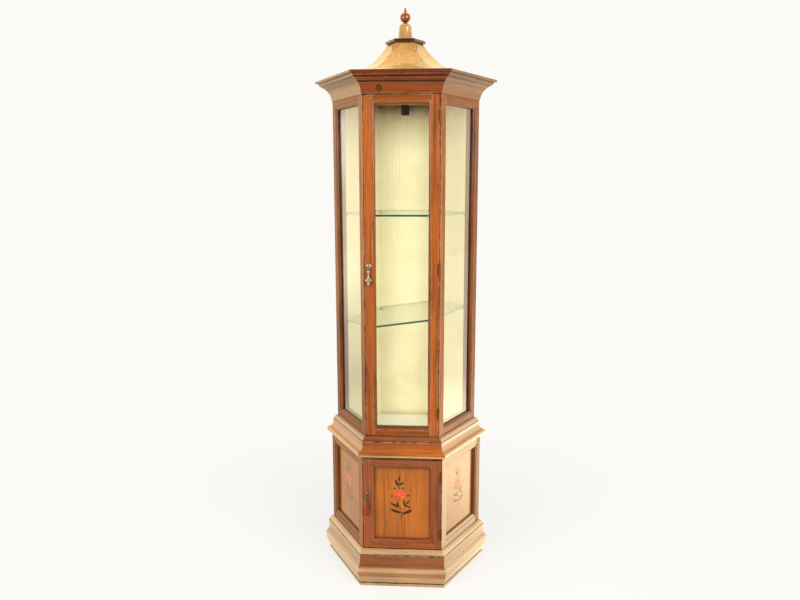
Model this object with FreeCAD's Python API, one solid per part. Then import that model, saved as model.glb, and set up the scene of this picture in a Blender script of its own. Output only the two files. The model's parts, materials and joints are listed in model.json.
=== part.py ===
import FreeCAD, Part
import math
import os

from FreeCAD import Vector

# Heights of the courses, from the floor to the tip of the finial
base_board_height = 9.0
plinth_height = 119.0
cupboard_height = 318.0
waist_height = 71.0
case_height = 1090.0
cornice_height = 56.5
cornice_board_height = 8.5
roof_height = 114.0
cap_height = 10.0
bell_height = 55.0
finial_height = 49.0

# Distances from the middle of the hexagon to the flat of a side
case_flat = 211.5
cupboard_step = 18.9
cupboard_flat = case_flat + cupboard_step
cap_flat = 57.0

# Working gaps
door_gap = 3.0
hinge_gap = 2.2
stop_gap = 1.0
running_gap = 0.05
seat_gap = 0.2
overrun = 40.0

# Base board and plinth moulding, measured out from the wall of the cupboard
base_board_reach = 14.0
plinth_foot_reach = 9.0
plinth_foot_height = 2.5
plinth_skirt_reach = 13.5
plinth_nose_reach = 26.0
plinth_nose_bottom = 47.0
plinth_nose_height = 10.0
plinth_neck_reach = 16.0
plinth_neck_bottom = 86.0
plinth_bead_reach = 14.0
plinth_bead_height = 14.5
plinth_fillet_height = 2.0
plinth_bead_lip = 1.5

# Waist moulding, measured out from the wall of the case
waist_soffit_reach = 19.5
waist_nose_reach = 32.0
waist_nose_bottom = 9.5
waist_nose_height = 15.5
waist_neck_reach = 14.8
waist_neck_bottom = 44.0
waist_bead_reach = 12.5
waist_bead_height = 13.0
waist_fillet_height = 2.0
waist_bead_lip = 1.0

# Cornice, measured out from the wall of the case
frieze_reach = 2.0
cove_reach = 27.0
cove_height = 43.0
cornice_fillet_reach = 30.0
cornice_fillet_height = 3.0
ovolo_reach = 39.0
ovolo_height = 8.0
cornice_crown_reach = 41.0
cornice_lip_reach = 50.0
cornice_lip_round = 3.6

# Roof boards, cap plate and turnings
roof_foot_inset = 15.5
roof_foot_height = 6.0
roof_board = 8.0
roof_top_flat = 50.0
cap_round = 3.0
bell_foot_radius = 29.0
bell_foot_height = 3.0
bell_waist_radius = 23.5
bell_waist_height = 16.0
bell_shoulder_radius = 21.0
bell_shoulder_height = 40.0
bell_crown_radius = 8.5
finial_foot_radius = 7.5
finial_neck_radius = 6.0
finial_neck_height = 3.5
finial_ball_radius = 17.5
finial_ball_height = 19.5
finial_shoulder_radius = 11.5
finial_shoulder_height = 31.0
finial_tip_radius = 3.4

# How far a curve stands off its chord, as a share of the chord
quarter_round_share = math.tan(math.pi / 8) / 2
soft_round_share = 0.14
nose_share = 0.19
slack_round_share = 0.05
cove_share = -0.12
neck_share = -0.16
roof_share = -0.114
bell_share = -0.07

# Framing of the case
case_frame = 30.0
case_stile_sight = 34.0
case_rail_sight = 28.5
upper_door_stile_sight = 34.0
glazing_moulding = 9.0
glass_seat = 10.0
glass_thickness = 4.0
front_post_frame = 22.0
rear_stile_sight = 36.0
rear_rail_sight = 30.0
rear_panel_seat = 8.0
rear_panel_thickness = 6.0

# Framing of the cupboard
cupboard_frame = 30.0
cupboard_stile_sight = 39.0
cupboard_rail_sight = 32.0
lower_door_stile_sight = 37.0
panel_moulding = 14.0
panel_seat = 11.0
panel_thickness = 8.0
panel_groove = 8.0
moulding_quirk = 1.5
moulding_drop = 2.0

# Doors and the posts they shut against
door_thickness = 22.0
corner_lip = 2.5
stop_width = 6.0
stop_depth = 10.0

# Boards and linings
floor_board = 11.0
cupboard_floor_drop = 1.0
ceiling_board = 8.0
lining_thickness = 3.0
floor_lining_thickness = 2.0

# Glass shelves and their pegs
shelf_gap = 1.5
shelf_door_gap = 3.5
shelf_thickness = 6.0
upper_shelf_height = 778.0
lower_shelf_height = 431.0
lower_shelf_tilt = 7.5
peg_radius = 3.0
peg_bury = 9.0
front_peg_bury = 7.0
peg_bearing = 7.0

# Butt hinges
hinge_height = 36.0
knuckle_radius = 2.6
knuckle_stand_off = 3.0
knuckle_gap = 0.3
hinge_pin_radius = 1.2
leaf_thickness = 0.9
leaf_width = 17.0
upper_hinge_from_top = 63.0
upper_hinge_from_bottom = 77.0
lower_hinge_from_top = 58.0
lower_hinge_from_bottom = 52.0

# Drop pull of the upper door
pull_inset = 12.5
pull_height = 563.0
rosette_radius = 8.0
rosette_thickness = 2.6
rosette_rim = 1.0
pull_stud_radius = 2.6
pull_stud_length = 13.0
pull_stud_flat = 2.0
pull_pin_radius = 1.1
fork_gap = 0.3
fork_cheek = 1.5
fork_radius = 4.0
bulb_radius = 4.6
bulb_drop = 15.0
drop_neck_radius = 1.9
drop_neck_drop = 25.0
drop_radius = 11.2
drop_brim_drop = 43.0
drop_brim_height = 2.0
drop_under_radius = 3.0
drop_under_drop = 50.0
drop_ball_radius = 4.4
drop_end_drop = 60.0

# Lock, key and tassel of the lower door
lock_inset = 13.8
lock_height = 192.0
lock_width = 37.0
lock_stop_gap = 2.6
lock_tall = 44.0
lock_deep = 12.0
lock_wall = 1.2
lock_slack = 0.3
bolt_thickness = 4.0
bolt_height = 20.0
bolt_length = 33.0
bolt_throw = 6.0
bit_reach = 6.0
bit_width = 2.4
bit_slack = 0.4
bit_lead_share = 0.22
escutcheon_radius = 7.0
escutcheon_thickness = 1.2
key_radius = 2.4
key_collar_radius = 3.8
key_collar_length = 3.0
key_collar_stand_off = 3.0
bow_radius = 9.0
bow_bar_radius = 1.6
bow_stand_off = 20.0
cord_radius = 0.8
cord_slack = 0.4
loop_drop = 12.0
stem_radius = 1.2
tassel_head_radius = 4.6
tassel_head_height = 8.0
tassel_neck_radius = 3.2
tassel_skirt_radius = 8.5
tassel_skirt_height = 33.0

# Magnetic catch of the upper door
catch_from_middle = 60.0
catch_width = 44.0
catch_height = 14.0
catch_deep = 22.0
catch_gap = 0.3
strike_thickness = 1.2
strike_margin = 2.0

# Lamp holder and its toggle switch
holder_flange_radius = 17.0
holder_flange_height = 5.0
holder_radius = 13.5
holder_length = 46.0
holder_bore = 7.2
holder_bore_depth = 28.0
switch_from_middle = 68.0
switch_height = 15.5
bezel_radius = 10.0
bezel_thickness = 2.0
bezel_slack = 0.4
bush_radius = 5.5
bush_stand_off = 5.0
bush_bore = 4.0
bush_tail = 4.0
switch_body_width = 16.0
switch_body_height = 13.0
switch_body_depth = 22.0
lever_ball_radius = 3.9
lever_root_radius = 1.5
lever_tip_radius = 2.4
lever_length = 15.0
lever_rest_angle = 14.0

# The hexagon, and the flat sides and chords that draw round pieces
sides = 6
turn_angle = 360.0 / sides
half_share = math.tan(math.pi / sides)
corner_share = 1.0 / math.cos(math.pi / sides)
turning_sides = 3 * sides
bar_sides = 2 * sides
curve_chords = sides // 2

# Levels worked out from the courses
plinth_bottom = base_board_height
cupboard_bottom = plinth_bottom + plinth_height
waist_bottom = cupboard_bottom + cupboard_height
case_bottom = waist_bottom + waist_height
cornice_bottom = case_bottom + case_height
cornice_top = cornice_bottom + cornice_height
roof_bottom = cornice_top + cornice_board_height
cap_bottom = roof_bottom + roof_height
bell_bottom = cap_bottom + cap_height
finial_bottom = bell_bottom + bell_height
floor_top = waist_bottom + floor_board
cupboard_floor_top = cupboard_bottom - cupboard_floor_drop
lining_bottom = floor_top + floor_lining_thickness
roof_foot_flat = case_flat - roof_foot_inset

# Doors worked out from the posts
case_half = case_flat * half_share
cupboard_half = cupboard_flat * half_share
upper_door_half = case_half - corner_lip - hinge_gap
lower_door_half = cupboard_half - corner_lip - hinge_gap
upper_door_bottom = case_bottom + door_gap
upper_door_top = cornice_bottom - door_gap
lower_door_bottom = cupboard_bottom + door_gap
lower_door_top = waist_bottom - door_gap
door_seat = door_thickness + stop_gap
lock_x = lock_inset - lower_door_half
lock_z = cupboard_bottom + lock_height

# Faces of the hexagon, counted in sixths of a turn from the front
front, front_right, back_right, back, back_left, front_left = range(sides)

# Directions
up = Vector(0, 0, 1)
outward = Vector(0, -1, 0)


def run(points, place):
    """Edges through points (a, b, bulge): straight, or an arc standing off its chord by the share bulge."""
    edges = []
    for (a0, b0, _), (a, b, bulge) in zip(points, points[1:]):
        start = place(a0, b0)
        end = place(a, b)
        if bulge:
            middle = place((a0 + a) / 2 + bulge * (b - b0), (b0 + b) / 2 - bulge * (a - a0))
            edges.append(Part.Arc(start, middle, end).toShape())
        else:
            edges.append(Part.makeLine(start, end))
    return edges


def outline(points, place):
    """The face inside a closed run of points."""
    return Part.Face(Part.Wire(run(points + points[:1], place)))


def chorded(points):
    """The points (a, b) of a section, with each of its arcs drawn by chords."""
    drawn = [points[0][:2]]
    for (a0, b0, _), (a, b, bulge) in zip(points, points[1:]):
        swing = 2 * math.atan(2 * bulge)
        for chord in range(1, curve_chords if bulge else 1):
            angle = swing * (2 * chord / curve_chords - 1)
            along = (1 + math.sin(angle) / math.sin(swing)) / 2
            away = (math.cos(angle) - math.cos(swing)) / (2 * math.sin(swing))
            a_off = along * (a - a0) + away * (b - b0)
            b_off = along * (b - b0) - away * (a - a0)
            drawn.append((a0 + a_off, b0 + b_off))
        drawn.append((a, b))
    return drawn


def turned(points, foot, axis, count):
    """A turning drawn with flat sides, from its half section of radius and height along its axis."""
    across = axis.cross(Vector(axis.y, axis.z, axis.x)).normalize()
    beside = axis.cross(across)
    spokes = []
    for spoke in range(count):
        angle = 2 * math.pi * spoke / count
        spokes.append(across * math.cos(angle) + beside * math.sin(angle))
    rings = [[foot + axis * along + spoke * radius for spoke in spokes] for radius, along in chorded(points)]
    faces = []
    for ring, after in zip(rings, rings[1:] + rings[:1]):
        for spoke in range(count):
            corners = [ring[spoke - 1], ring[spoke], after[spoke], after[spoke - 1]]
            apart = [one for one, last in zip(corners, corners[-1:] + corners) if one != last]
            if len(apart) > 2:
                faces.append(Part.Face(Part.makePolygon(apart + apart[:1])))
    solid = Part.Solid(Part.Shell(faces)).removeSplitter()
    if solid.Volume < 0:
        solid.reverse()
    return solid


def ring(radius, bar_radius, centre, axis):
    """A ring of six-sided bar."""
    section = []
    for corner in range(sides + 1):
        angle = math.radians(turn_angle * corner)
        section.append((radius + bar_radius * math.cos(angle), bar_radius * math.sin(angle), 0))
    return turned(section, centre, axis, bar_sides)


def on_turn(shape, turn):
    """A copy of a piece of the front face, carried round to another face."""
    copy = shape.copy()
    copy.rotate(Vector(), up, turn_angle * turn)
    return copy


def box(low, high):
    """A block between two opposite corners."""
    size = high - low
    return Part.makeBox(size.x, size.y, size.z, low)


def pin(radius, start, along):
    """A true round pin from a point along a vector, for what a joint turns on."""
    return Part.makeCylinder(radius, along.Length, start, along)


def round_bar(radius, start, along, count=bar_sides):
    """A round bar from a point along a vector, drawn with flat sides."""
    section = [(0, 0, 0), (radius, 0, 0), (radius, along.Length, 0), (0, along.Length, 0)]
    return turned(section, start, Vector(along).normalize(), count)


def clear(radius, count):
    """Corner radius of a hole whose flat sides touch a circle."""
    return radius / math.cos(math.pi / count)


def round_bore(radius, start, along, count=bar_sides):
    """The core of a hole that clears a round bar."""
    return round_bar(clear(radius, count), start, along, count)


def largest(shape):
    """The largest solid of a shape."""
    return max(shape.Solids, key=lambda solid: solid.Volume)


def less(shape, others):
    """What is left of a shape outside some others."""
    return largest(shape.cut(Part.makeCompound(others)))


def hex_corners(flats, level):
    """Corners of a hexagon with each side at its own distance from the middle; corner n follows side n."""
    corners = []
    for side in range(sides):
        angle = math.radians(turn_angle * side)
        flat = flats[side]
        after = flats[(side + 1) % sides]
        along = (after - flat * math.cos(2 * math.pi / sides)) / math.sin(2 * math.pi / sides)
        x = along * math.cos(angle) + flat * math.sin(angle)
        y = along * math.sin(angle) - flat * math.cos(angle)
        corners.append(Vector(x, y, level))
    return corners


def hex_board(flats, bottom, thickness):
    """A six-sided board with a side to the front."""
    corners = hex_corners(flats, bottom)
    return Part.Face(Part.makePolygon(corners + corners[:1])).extrude(up * thickness)


def rounded_board(flat, bottom, thickness, radius):
    """A hexagonal board with its upper and lower rim rounded."""
    rim = flat * corner_share
    inner = (flat - radius) * corner_share
    section = [
        (0, 0, 0),
        (inner, 0, 0),
        (rim, radius, quarter_round_share),
        (rim, thickness - radius, 0),
        (inner, thickness, quarter_round_share),
        (0, thickness, 0),
    ]
    return turned(section, up * bottom, up, sides)


def mitred(points, turns):
    """Lengths of one moulding, given by its section of reach and height, mitred at the corners."""
    reach = max(point[0] for point in points) + overrun
    half = reach * half_share

    def place(radius, height):
        return Vector(-half, -radius, height)

    bar = outline(points, place).extrude(Vector(2 * half, 0, 0))
    low = bar.BoundBox.ZMin - overrun
    plan = [Vector(0, 0, low), Vector(half, -reach, low), Vector(-half, -reach, low), Vector(0, 0, low)]
    wedge = Part.Face(Part.makePolygon(plan)).extrude(up * (bar.BoundBox.ZLength + 2 * overrun))
    length = largest(bar.common(wedge))
    return [on_turn(length, turn) for turn in turns]


def glazed_edge(sight, frame):
    """Inner edge of a member that holds glass: an ovolo, then a rebate open to the back."""
    land = sight - glazing_moulding
    return [
        (land, 0, 0),
        (land, moulding_quirk, 0),
        (sight, glass_seat - moulding_drop, quarter_round_share),
        (sight, glass_seat, 0),
        (land, glass_seat, 0),
        (land, frame, 0),
    ]


def panel_edge(sight, frame):
    """Inner edge of a member that holds a wooden panel: an ovolo, then a groove."""
    land = sight - panel_moulding
    groove_back = panel_seat + panel_thickness
    return [
        (land, 0, 0),
        (land, moulding_quirk, 0),
        (sight, panel_seat - moulding_drop, quarter_round_share),
        (sight, panel_seat, 0),
        (sight - panel_groove, panel_seat, 0),
        (sight - panel_groove, groove_back, 0),
        (sight, groove_back, 0),
        (sight, frame, 0),
    ]


def plain_edge(sight, frame):
    """Inner edge of a rear member: square, with a groove for the back board."""
    groove_back = rear_panel_seat + rear_panel_thickness
    return [
        (sight, 0, 0),
        (sight, rear_panel_seat, 0),
        (sight - panel_groove, rear_panel_seat, 0),
        (sight - panel_groove, groove_back, 0),
        (sight, groove_back, 0),
        (sight, frame, 0),
    ]


def door_edge():
    """Side of a post that a door shuts against: a thin lip at the corner, then a stop."""
    return [
        (corner_lip, 0, 0),
        (corner_lip, door_seat, 0),
        (corner_lip + stop_width, door_seat, 0),
        (corner_lip + stop_width, door_seat + stop_depth, 0),
    ]


def on_face(flat, turn, along, depth, level):
    """A point at a distance along a face from its middle and at a depth behind it."""
    angle = math.radians(turn_angle * turn)
    y = depth - flat
    x_turned = along * math.cos(angle) - y * math.sin(angle)
    y_turned = along * math.sin(angle) + y * math.cos(angle)
    return Vector(x_turned, y_turned, level)


def post(flat, turn, near, far, inner_frame, bottom, top):
    """The post at the right of a face: near and far are its edges on that face and on the next one."""
    half = flat * half_share

    def on_near(across, depth):
        return on_face(flat, turn, half - across, depth, bottom)

    def on_far(across, depth):
        return on_face(flat, turn + 1, across - half, depth, bottom)

    start = [(0, 0, 0)]
    near_end = on_near(near[-1][0], near[-1][1])
    far_end = on_far(far[-1][0], far[-1][1])
    ends = [near_end, far_end]
    if inner_frame:
        ends.insert(1, on_near(inner_frame * half_share, inner_frame))
    closing = [Part.makeLine(one, other) for one, other in zip(ends, ends[1:])]
    edges = run(start + near, on_near) + run(start + far, on_far) + closing
    return Part.Face(Part.Wire(Part.__sortEdges__(edges))).extrude(up * (top - bottom))


def posts_around(flat, edges, frame, bottom, top):
    """Six posts; those beside the door have no inner corner."""
    posts = []
    for turn in range(sides):
        after = (turn + 1) % sides
        inner_frame = 0 if front in (turn, after) else frame
        posts.append(post(flat, turn, edges[turn], edges[after], inner_frame, bottom, top))
    return posts


def member_section(edge):
    """Section of a rail or stile: square outer side, worked inner edge."""
    return [(0, 0, 0)] + edge + [(0, edge[-1][1], 0)]


def upright(edge, outer, inward, flat, bottom, top):
    """A door stile whose outer side stands at x = outer."""
    def place(across, depth):
        return Vector(outer + inward * across, depth - flat, bottom)

    return outline(member_section(edge), place).extrude(up * (top - bottom))


def rail(edge, outer, inward, flat, half_length, uprights):
    """A rail whose outer side lies at z = outer, coped over the uprights at its ends."""
    def place(across, depth):
        return Vector(-half_length, depth - flat, outer + inward * across)

    bar = outline(member_section(edge), place).extrude(Vector(2 * half_length, 0, 0))
    return less(bar, uprights)


def face_board(flat, half_width, low, high, seat, thickness):
    """A pane or panel of the front face at a depth behind it."""
    return box(Vector(-half_width, seat - flat, low), Vector(half_width, seat + thickness - flat, high))


def glazing_strips(flat, half_width, low, high, seat, back_depth):
    """Four beads that hold a pane in the rebate of its frame."""
    width = glazing_moulding
    front_y = seat - flat
    back_y = back_depth - flat
    inner = half_width - width
    return [
        box(Vector(-half_width, front_y, low), Vector(-inner, back_y, high)),
        box(Vector(inner, front_y, low), Vector(half_width, back_y, high)),
        box(Vector(-inner, front_y, low), Vector(inner, back_y, low + width)),
        box(Vector(-inner, front_y, high - width), Vector(inner, back_y, high)),
    ]


def save(name, solids):
    """Write one named node, a single solid or a group of separate ones."""
    shape = solids[0] if len(solids) == 1 else Part.makeCompound(solids)
    shape.exportStep("parts/" + name + ".step")


def plinth_section():
    """Half section of the plinth moulding."""
    wall = cupboard_flat
    foot = plinth_bottom + plinth_foot_height
    nose_bottom = plinth_bottom + plinth_nose_bottom
    nose_top = nose_bottom + plinth_nose_height
    bead_bottom = cupboard_bottom - plinth_bead_height
    return [
        (wall, plinth_bottom, 0),
        (wall + plinth_foot_reach, plinth_bottom, 0),
        (wall + plinth_foot_reach, foot, 0),
        (wall + plinth_skirt_reach, foot, 0),
        (wall + plinth_nose_reach, nose_bottom, slack_round_share),
        (wall + plinth_nose_reach, nose_top, slack_round_share),
        (wall + plinth_neck_reach, plinth_bottom + plinth_neck_bottom, neck_share),
        (wall + plinth_neck_reach, bead_bottom - plinth_fillet_height, 0),
        (wall + plinth_bead_reach, bead_bottom - plinth_fillet_height, 0),
        (wall + plinth_bead_reach, bead_bottom, 0),
        (wall + plinth_bead_lip, cupboard_bottom, soft_round_share),
        (wall, cupboard_bottom, 0),
    ]


def waist_section():
    """Half section of the waist moulding."""
    wall = case_flat
    nose_bottom = waist_bottom + waist_nose_bottom
    nose_top = nose_bottom + waist_nose_height
    bead_bottom = case_bottom - waist_bead_height
    return [
        (wall, waist_bottom, 0),
        (wall + waist_soffit_reach, waist_bottom, 0),
        (wall + waist_nose_reach, nose_bottom, neck_share),
        (wall + waist_nose_reach, nose_top, nose_share),
        (wall + waist_neck_reach, waist_bottom + waist_neck_bottom, neck_share),
        (wall + waist_neck_reach, bead_bottom - waist_fillet_height, 0),
        (wall + waist_bead_reach, bead_bottom - waist_fillet_height, 0),
        (wall + waist_bead_reach, bead_bottom, 0),
        (wall + waist_bead_lip, case_bottom, soft_round_share),
        (wall, case_bottom, 0),
    ]


def cornice_section():
    """Half section of the cornice moulding: frieze running into a cove, fillet, ovolo and crown."""
    wall = case_flat
    fillet_bottom = cornice_bottom + cove_height
    ovolo_bottom = fillet_bottom + cornice_fillet_height
    return [
        (wall, cornice_bottom, 0),
        (wall + frieze_reach, cornice_bottom, 0),
        (wall + cove_reach, fillet_bottom, cove_share),
        (wall + cornice_fillet_reach, fillet_bottom, 0),
        (wall + cornice_fillet_reach, ovolo_bottom, 0),
        (wall + ovolo_reach, ovolo_bottom + ovolo_height, quarter_round_share),
        (wall + cornice_crown_reach, ovolo_bottom + ovolo_height, 0),
        (wall + cornice_crown_reach, cornice_top, 0),
        (wall, cornice_top, 0),
    ]


def roof_section():
    """Half section of one swept roof board."""
    inner_foot = roof_bottom + roof_foot_height - roof_board / 2
    outer = [
        (roof_foot_flat - roof_board, roof_bottom, 0),
        (roof_foot_flat, roof_bottom, 0),
        (roof_foot_flat, roof_bottom + roof_foot_height, 0),
        (roof_top_flat, cap_bottom, roof_share),
    ]
    under = [
        (roof_top_flat - roof_board, cap_bottom, 0),
        (roof_foot_flat - roof_board, inner_foot, -roof_share),
    ]
    return outer + [(reach, level, 0) for reach, level in chorded(under)]


def bell():
    """Turned bell with a flared foot and a round shoulder."""
    section = [
        (0, 0, 0),
        (bell_foot_radius, 0, 0),
        (bell_foot_radius, bell_foot_height, 0),
        (bell_waist_radius, bell_waist_height, bell_share),
        (bell_shoulder_radius, bell_shoulder_height, 0),
        (bell_crown_radius, bell_height, quarter_round_share),
        (0, bell_height, 0),
    ]
    return turned(section, up * bell_bottom, up, turning_sides)


def finial():
    """Turned onion finial drawn out to a small tip."""
    section = [
        (0, 0, 0),
        (finial_foot_radius, 0, 0),
        (finial_neck_radius, finial_neck_height, neck_share),
        (finial_ball_radius, finial_ball_height, nose_share),
        (finial_shoulder_radius, finial_shoulder_height, soft_round_share),
        (finial_tip_radius, finial_height - finial_tip_radius, neck_share),
        (0, finial_height, quarter_round_share),
    ]
    return turned(section, up * finial_bottom, up, turning_sides)


def build_top():
    """Cornice board, roof boards, cap plate, bell and finial."""
    lip_flat = case_flat + cornice_lip_reach
    save("cornice_board", [rounded_board(lip_flat, cornice_top, cornice_board_height, cornice_lip_round)])
    save("roof_boards", mitred(roof_section(), range(sides)))
    save("cap_plate", [rounded_board(cap_flat, cap_bottom, cap_height, cap_round)])
    save("bell", [bell()])
    save("finial", [finial()])


def build_bottom():
    """Base board with the plinth and waist mouldings."""
    save("base_board", [hex_board([cupboard_flat + base_board_reach] * sides, 0, base_board_height)])
    save("plinth_mouldings", mitred(plinth_section(), range(sides)))
    save("waist_mouldings", mitred(waist_section(), range(sides)))


def bezel_piece(seat, tail, mouth):
    """Brass bezel of the switch with its hollow bush."""
    bore = clear(bush_bore, bar_sides)
    back_end = seat.y - tail.y
    front_end = seat.y - mouth.y
    rim = bezel_thickness / 2
    section = [
        (bore, back_end, 0),
        (bush_radius, back_end, 0),
        (bush_radius, 0, 0),
        (bezel_radius, 0, 0),
        (bezel_radius, rim, 0),
        (bezel_radius - rim, bezel_thickness, 0),
        (bush_radius, bezel_thickness, 0),
        (bush_radius, front_end, 0),
        (bore, front_end, 0),
        (bore, back_end, 0),
    ]
    return turned(section, seat, outward, bar_sides)


def lever_piece(pivot):
    """Switch lever: a ball that fills the bush, and a stem that widens to its round end."""
    root = math.sqrt(lever_ball_radius ** 2 - lever_root_radius ** 2)
    section = [
        (0, -lever_ball_radius, 0),
        (lever_ball_radius, 0, quarter_round_share),
        (lever_root_radius, root, soft_round_share),
        (lever_tip_radius, lever_length, 0),
        (0, lever_length + lever_tip_radius, quarter_round_share),
    ]
    lever = turned(section, pivot, outward, bar_sides)
    lever.rotate(pivot, Vector(1, 0, 0), lever_rest_angle)
    return lever


def build_cornice_and_head():
    """Cornice lengths and head board, bored for the toggle switch let into the frieze, and the switch."""
    x = -switch_from_middle
    z = cornice_bottom + switch_height
    seat = Vector(x, -case_flat - frieze_reach, z)
    inner = Vector(x, door_seat - case_flat, z)
    tail = inner - outward * bush_tail
    mouth = seat + outward * (bezel_thickness + bush_stand_off)
    spot_face = round_bore(bezel_radius + bezel_slack, seat, outward * overrun)
    through = outward * (2 * overrun + door_seat)
    passage = round_bore(bush_radius + running_gap, inner - outward * overrun, through, sides)

    cornice = mitred(cornice_section(), range(sides))
    cornice[front] = less(cornice[front], [spot_face, passage])
    save("cornice_mouldings", cornice)
    save("switch_bezel", [bezel_piece(seat, tail, mouth)])
    half = Vector(switch_body_width / 2, 0, switch_body_height / 2)
    body = box(inner - half, inner + half - outward * switch_body_depth)
    save("switch_body", [less(body, [round_bar(bush_radius, tail, outward * overrun)])])
    save("switch_lever", [lever_piece(mouth - outward * lever_ball_radius)])
    half_width = case_half - corner_lip
    head = face_board(case_flat, half_width, cornice_bottom, cornice_top, 0, door_seat)
    return less(head, [passage])


def hinge(axis, centre):
    """One butt hinge on an upright axis: leaf of the post, leaf of the door, and pin."""
    third = hinge_height / 3
    base = Vector(axis.x, axis.y, centre - hinge_height / 2)
    play = up * (knuckle_gap / 2)
    tall = up * (hinge_height - knuckle_gap)
    deep = Vector(leaf_thickness, knuckle_stand_off + leaf_width, 0)
    post_side = base + play + Vector(hinge_gap / 2 - leaf_thickness, 0, 0)
    door_side = base + play - Vector(hinge_gap / 2, 0, 0)
    room = Vector(knuckle_radius + knuckle_gap, knuckle_radius + knuckle_gap, 0)
    bore_radius = hinge_pin_radius + running_gap
    bore = round_bore(bore_radius, base - up * overrun, up * (hinge_height + 2 * overrun), sides)
    levels = [base + up * third * n for n in range(3)]
    knuckles = [round_bar(knuckle_radius, level + play, up * (third - knuckle_gap)) for level in levels]
    rooms = [box(level - play - room, level + play + up * third + room) for level in levels]
    post_plate = box(post_side, post_side + deep + tall).cut(rooms[1])
    post_leaf = post_plate.fuse([knuckles[0], knuckles[2]]).cut(bore)
    door_plate = box(door_side, door_side + deep + tall).cut(Part.makeCompound([rooms[0], rooms[2]]))
    door_leaf = door_plate.fuse(knuckles[1]).cut(bore)
    axle = pin(hinge_pin_radius, base + play, tall)
    return largest(post_leaf.removeSplitter()), largest(door_leaf.removeSplitter()), axle


def build_hinges():
    """Three hinges on the upper door and two on the lower one."""
    offset = corner_lip + hinge_gap / 2
    upper_axis = Vector(case_half - offset, -case_flat - knuckle_stand_off, 0)
    lower_axis = Vector(cupboard_half - offset, -cupboard_flat - knuckle_stand_off, 0)
    high = upper_door_top - upper_hinge_from_top
    low = upper_door_bottom + upper_hinge_from_bottom
    upper = [hinge(upper_axis, level) for level in (low, (low + high) / 2, high)]
    lower_levels = (lower_door_bottom + lower_hinge_from_bottom, lower_door_top - lower_hinge_from_top)
    lower = [hinge(lower_axis, level) for level in lower_levels]
    save("hinge_post_leaves", [parts[0] for parts in upper + lower])
    save("hinge_pins", [parts[2] for parts in upper + lower])
    save("upper_door_hinge_leaves", [parts[1] for parts in upper])
    save("lower_door_hinge_leaves", [parts[1] for parts in lower])


def lock_pieces():
    """Lock case with its channel, bolt with its window, and the mortise the bolt shoots into."""
    back_y = door_thickness - cupboard_flat
    left = corner_lip + stop_width + lock_stop_gap - cupboard_half
    shell = box(
        Vector(left, back_y, lock_z - lock_tall / 2),
        Vector(left + lock_width, back_y + lock_deep, lock_z + lock_tall / 2),
    )
    bolt_y = back_y + (lock_deep - bolt_thickness) / 2
    low = Vector(left + lock_slack, bolt_y, lock_z - bolt_height / 2)
    high = low + Vector(bolt_length, bolt_thickness, bolt_height)
    slack = Vector(lock_slack, lock_slack, lock_slack)
    channel = box(low - slack - Vector(overrun, 0, 0), high + slack)
    key_deep = Vector(0, lock_deep - lock_wall, 0)
    key_way = round_bore(key_radius + running_gap, Vector(lock_x, back_y, lock_z), key_deep, sides)
    lead = bit_width / 2 + bit_reach * bit_lead_share + bit_slack
    window = box(
        Vector(lock_x - lead, bolt_y, lock_z - bit_reach - bit_slack),
        Vector(lock_x + bolt_throw + key_radius + bit_slack, high.y, lock_z + key_radius + bit_slack),
    )
    mortise = box(low - slack - Vector(bolt_throw, 0, 0), Vector(low.x, high.y, high.z) + slack)
    return less(shell, [channel, key_way]), less(box(low, high), [window]), mortise


def escutcheon_piece():
    """Round plate round the keyhole."""
    bore = clear(key_radius + running_gap, bar_sides)
    rim = escutcheon_thickness / 2
    section = [
        (bore, 0, 0),
        (escutcheon_radius, 0, 0),
        (escutcheon_radius, rim, 0),
        (escutcheon_radius - rim, escutcheon_thickness, 0),
        (bore, escutcheon_thickness, 0),
        (bore, 0, 0),
    ]
    return turned(section, Vector(lock_x, -cupboard_flat, lock_z), outward, bar_sides)


def key_piece():
    """Key with a ring bow, a collar, a round shaft and a bit that points down."""
    centre = Vector(lock_x, -cupboard_flat - bow_stand_off, lock_z)
    bow = ring(bow_radius, bow_bar_radius, centre, Vector(1, 0, 0))
    start = centre - outward * bow_radius
    bit_back = door_thickness + (lock_deep + bolt_thickness) / 2 - cupboard_flat - bit_slack
    shaft = pin(key_radius, start, Vector(0, bit_back - start.y, 0))
    collar_start = Vector(lock_x, -cupboard_flat - escutcheon_thickness - key_collar_stand_off, lock_z)
    collar = round_bar(key_collar_radius, collar_start, outward * key_collar_length)
    bit = box(
        Vector(lock_x - bit_width / 2, bit_back - bolt_thickness + 2 * bit_slack, lock_z - bit_reach),
        Vector(lock_x + bit_width / 2, bit_back, lock_z),
    )
    return largest(bow.fuse([shaft, collar, bit]))


def tassel_piece():
    """Tassel: a cord ring round the lowest point of the bow, a stem, a round head and a flared skirt."""
    bar = Vector(lock_x, -cupboard_flat - bow_stand_off, lock_z - bow_radius)
    loop_radius = bow_bar_radius + cord_slack + cord_radius
    loop = ring(loop_radius, cord_radius, bar, Vector(0, 1, 0))
    stem = round_bar(stem_radius, bar - up * loop_drop, up * (loop_drop - loop_radius))
    section = [
        (0, 0, 0),
        (tassel_skirt_radius, 0, 0),
        (tassel_neck_radius, tassel_skirt_height, slack_round_share),
        (tassel_head_radius, tassel_skirt_height + tassel_head_height / 2, soft_round_share),
        (stem_radius, tassel_skirt_height + tassel_head_height, quarter_round_share),
        (0, tassel_skirt_height + tassel_head_height, 0),
    ]
    foot = bar - up * (loop_drop + tassel_head_height + tassel_skirt_height)
    return largest(turned(section, foot, up, bar_sides).fuse([loop, stem]))


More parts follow.
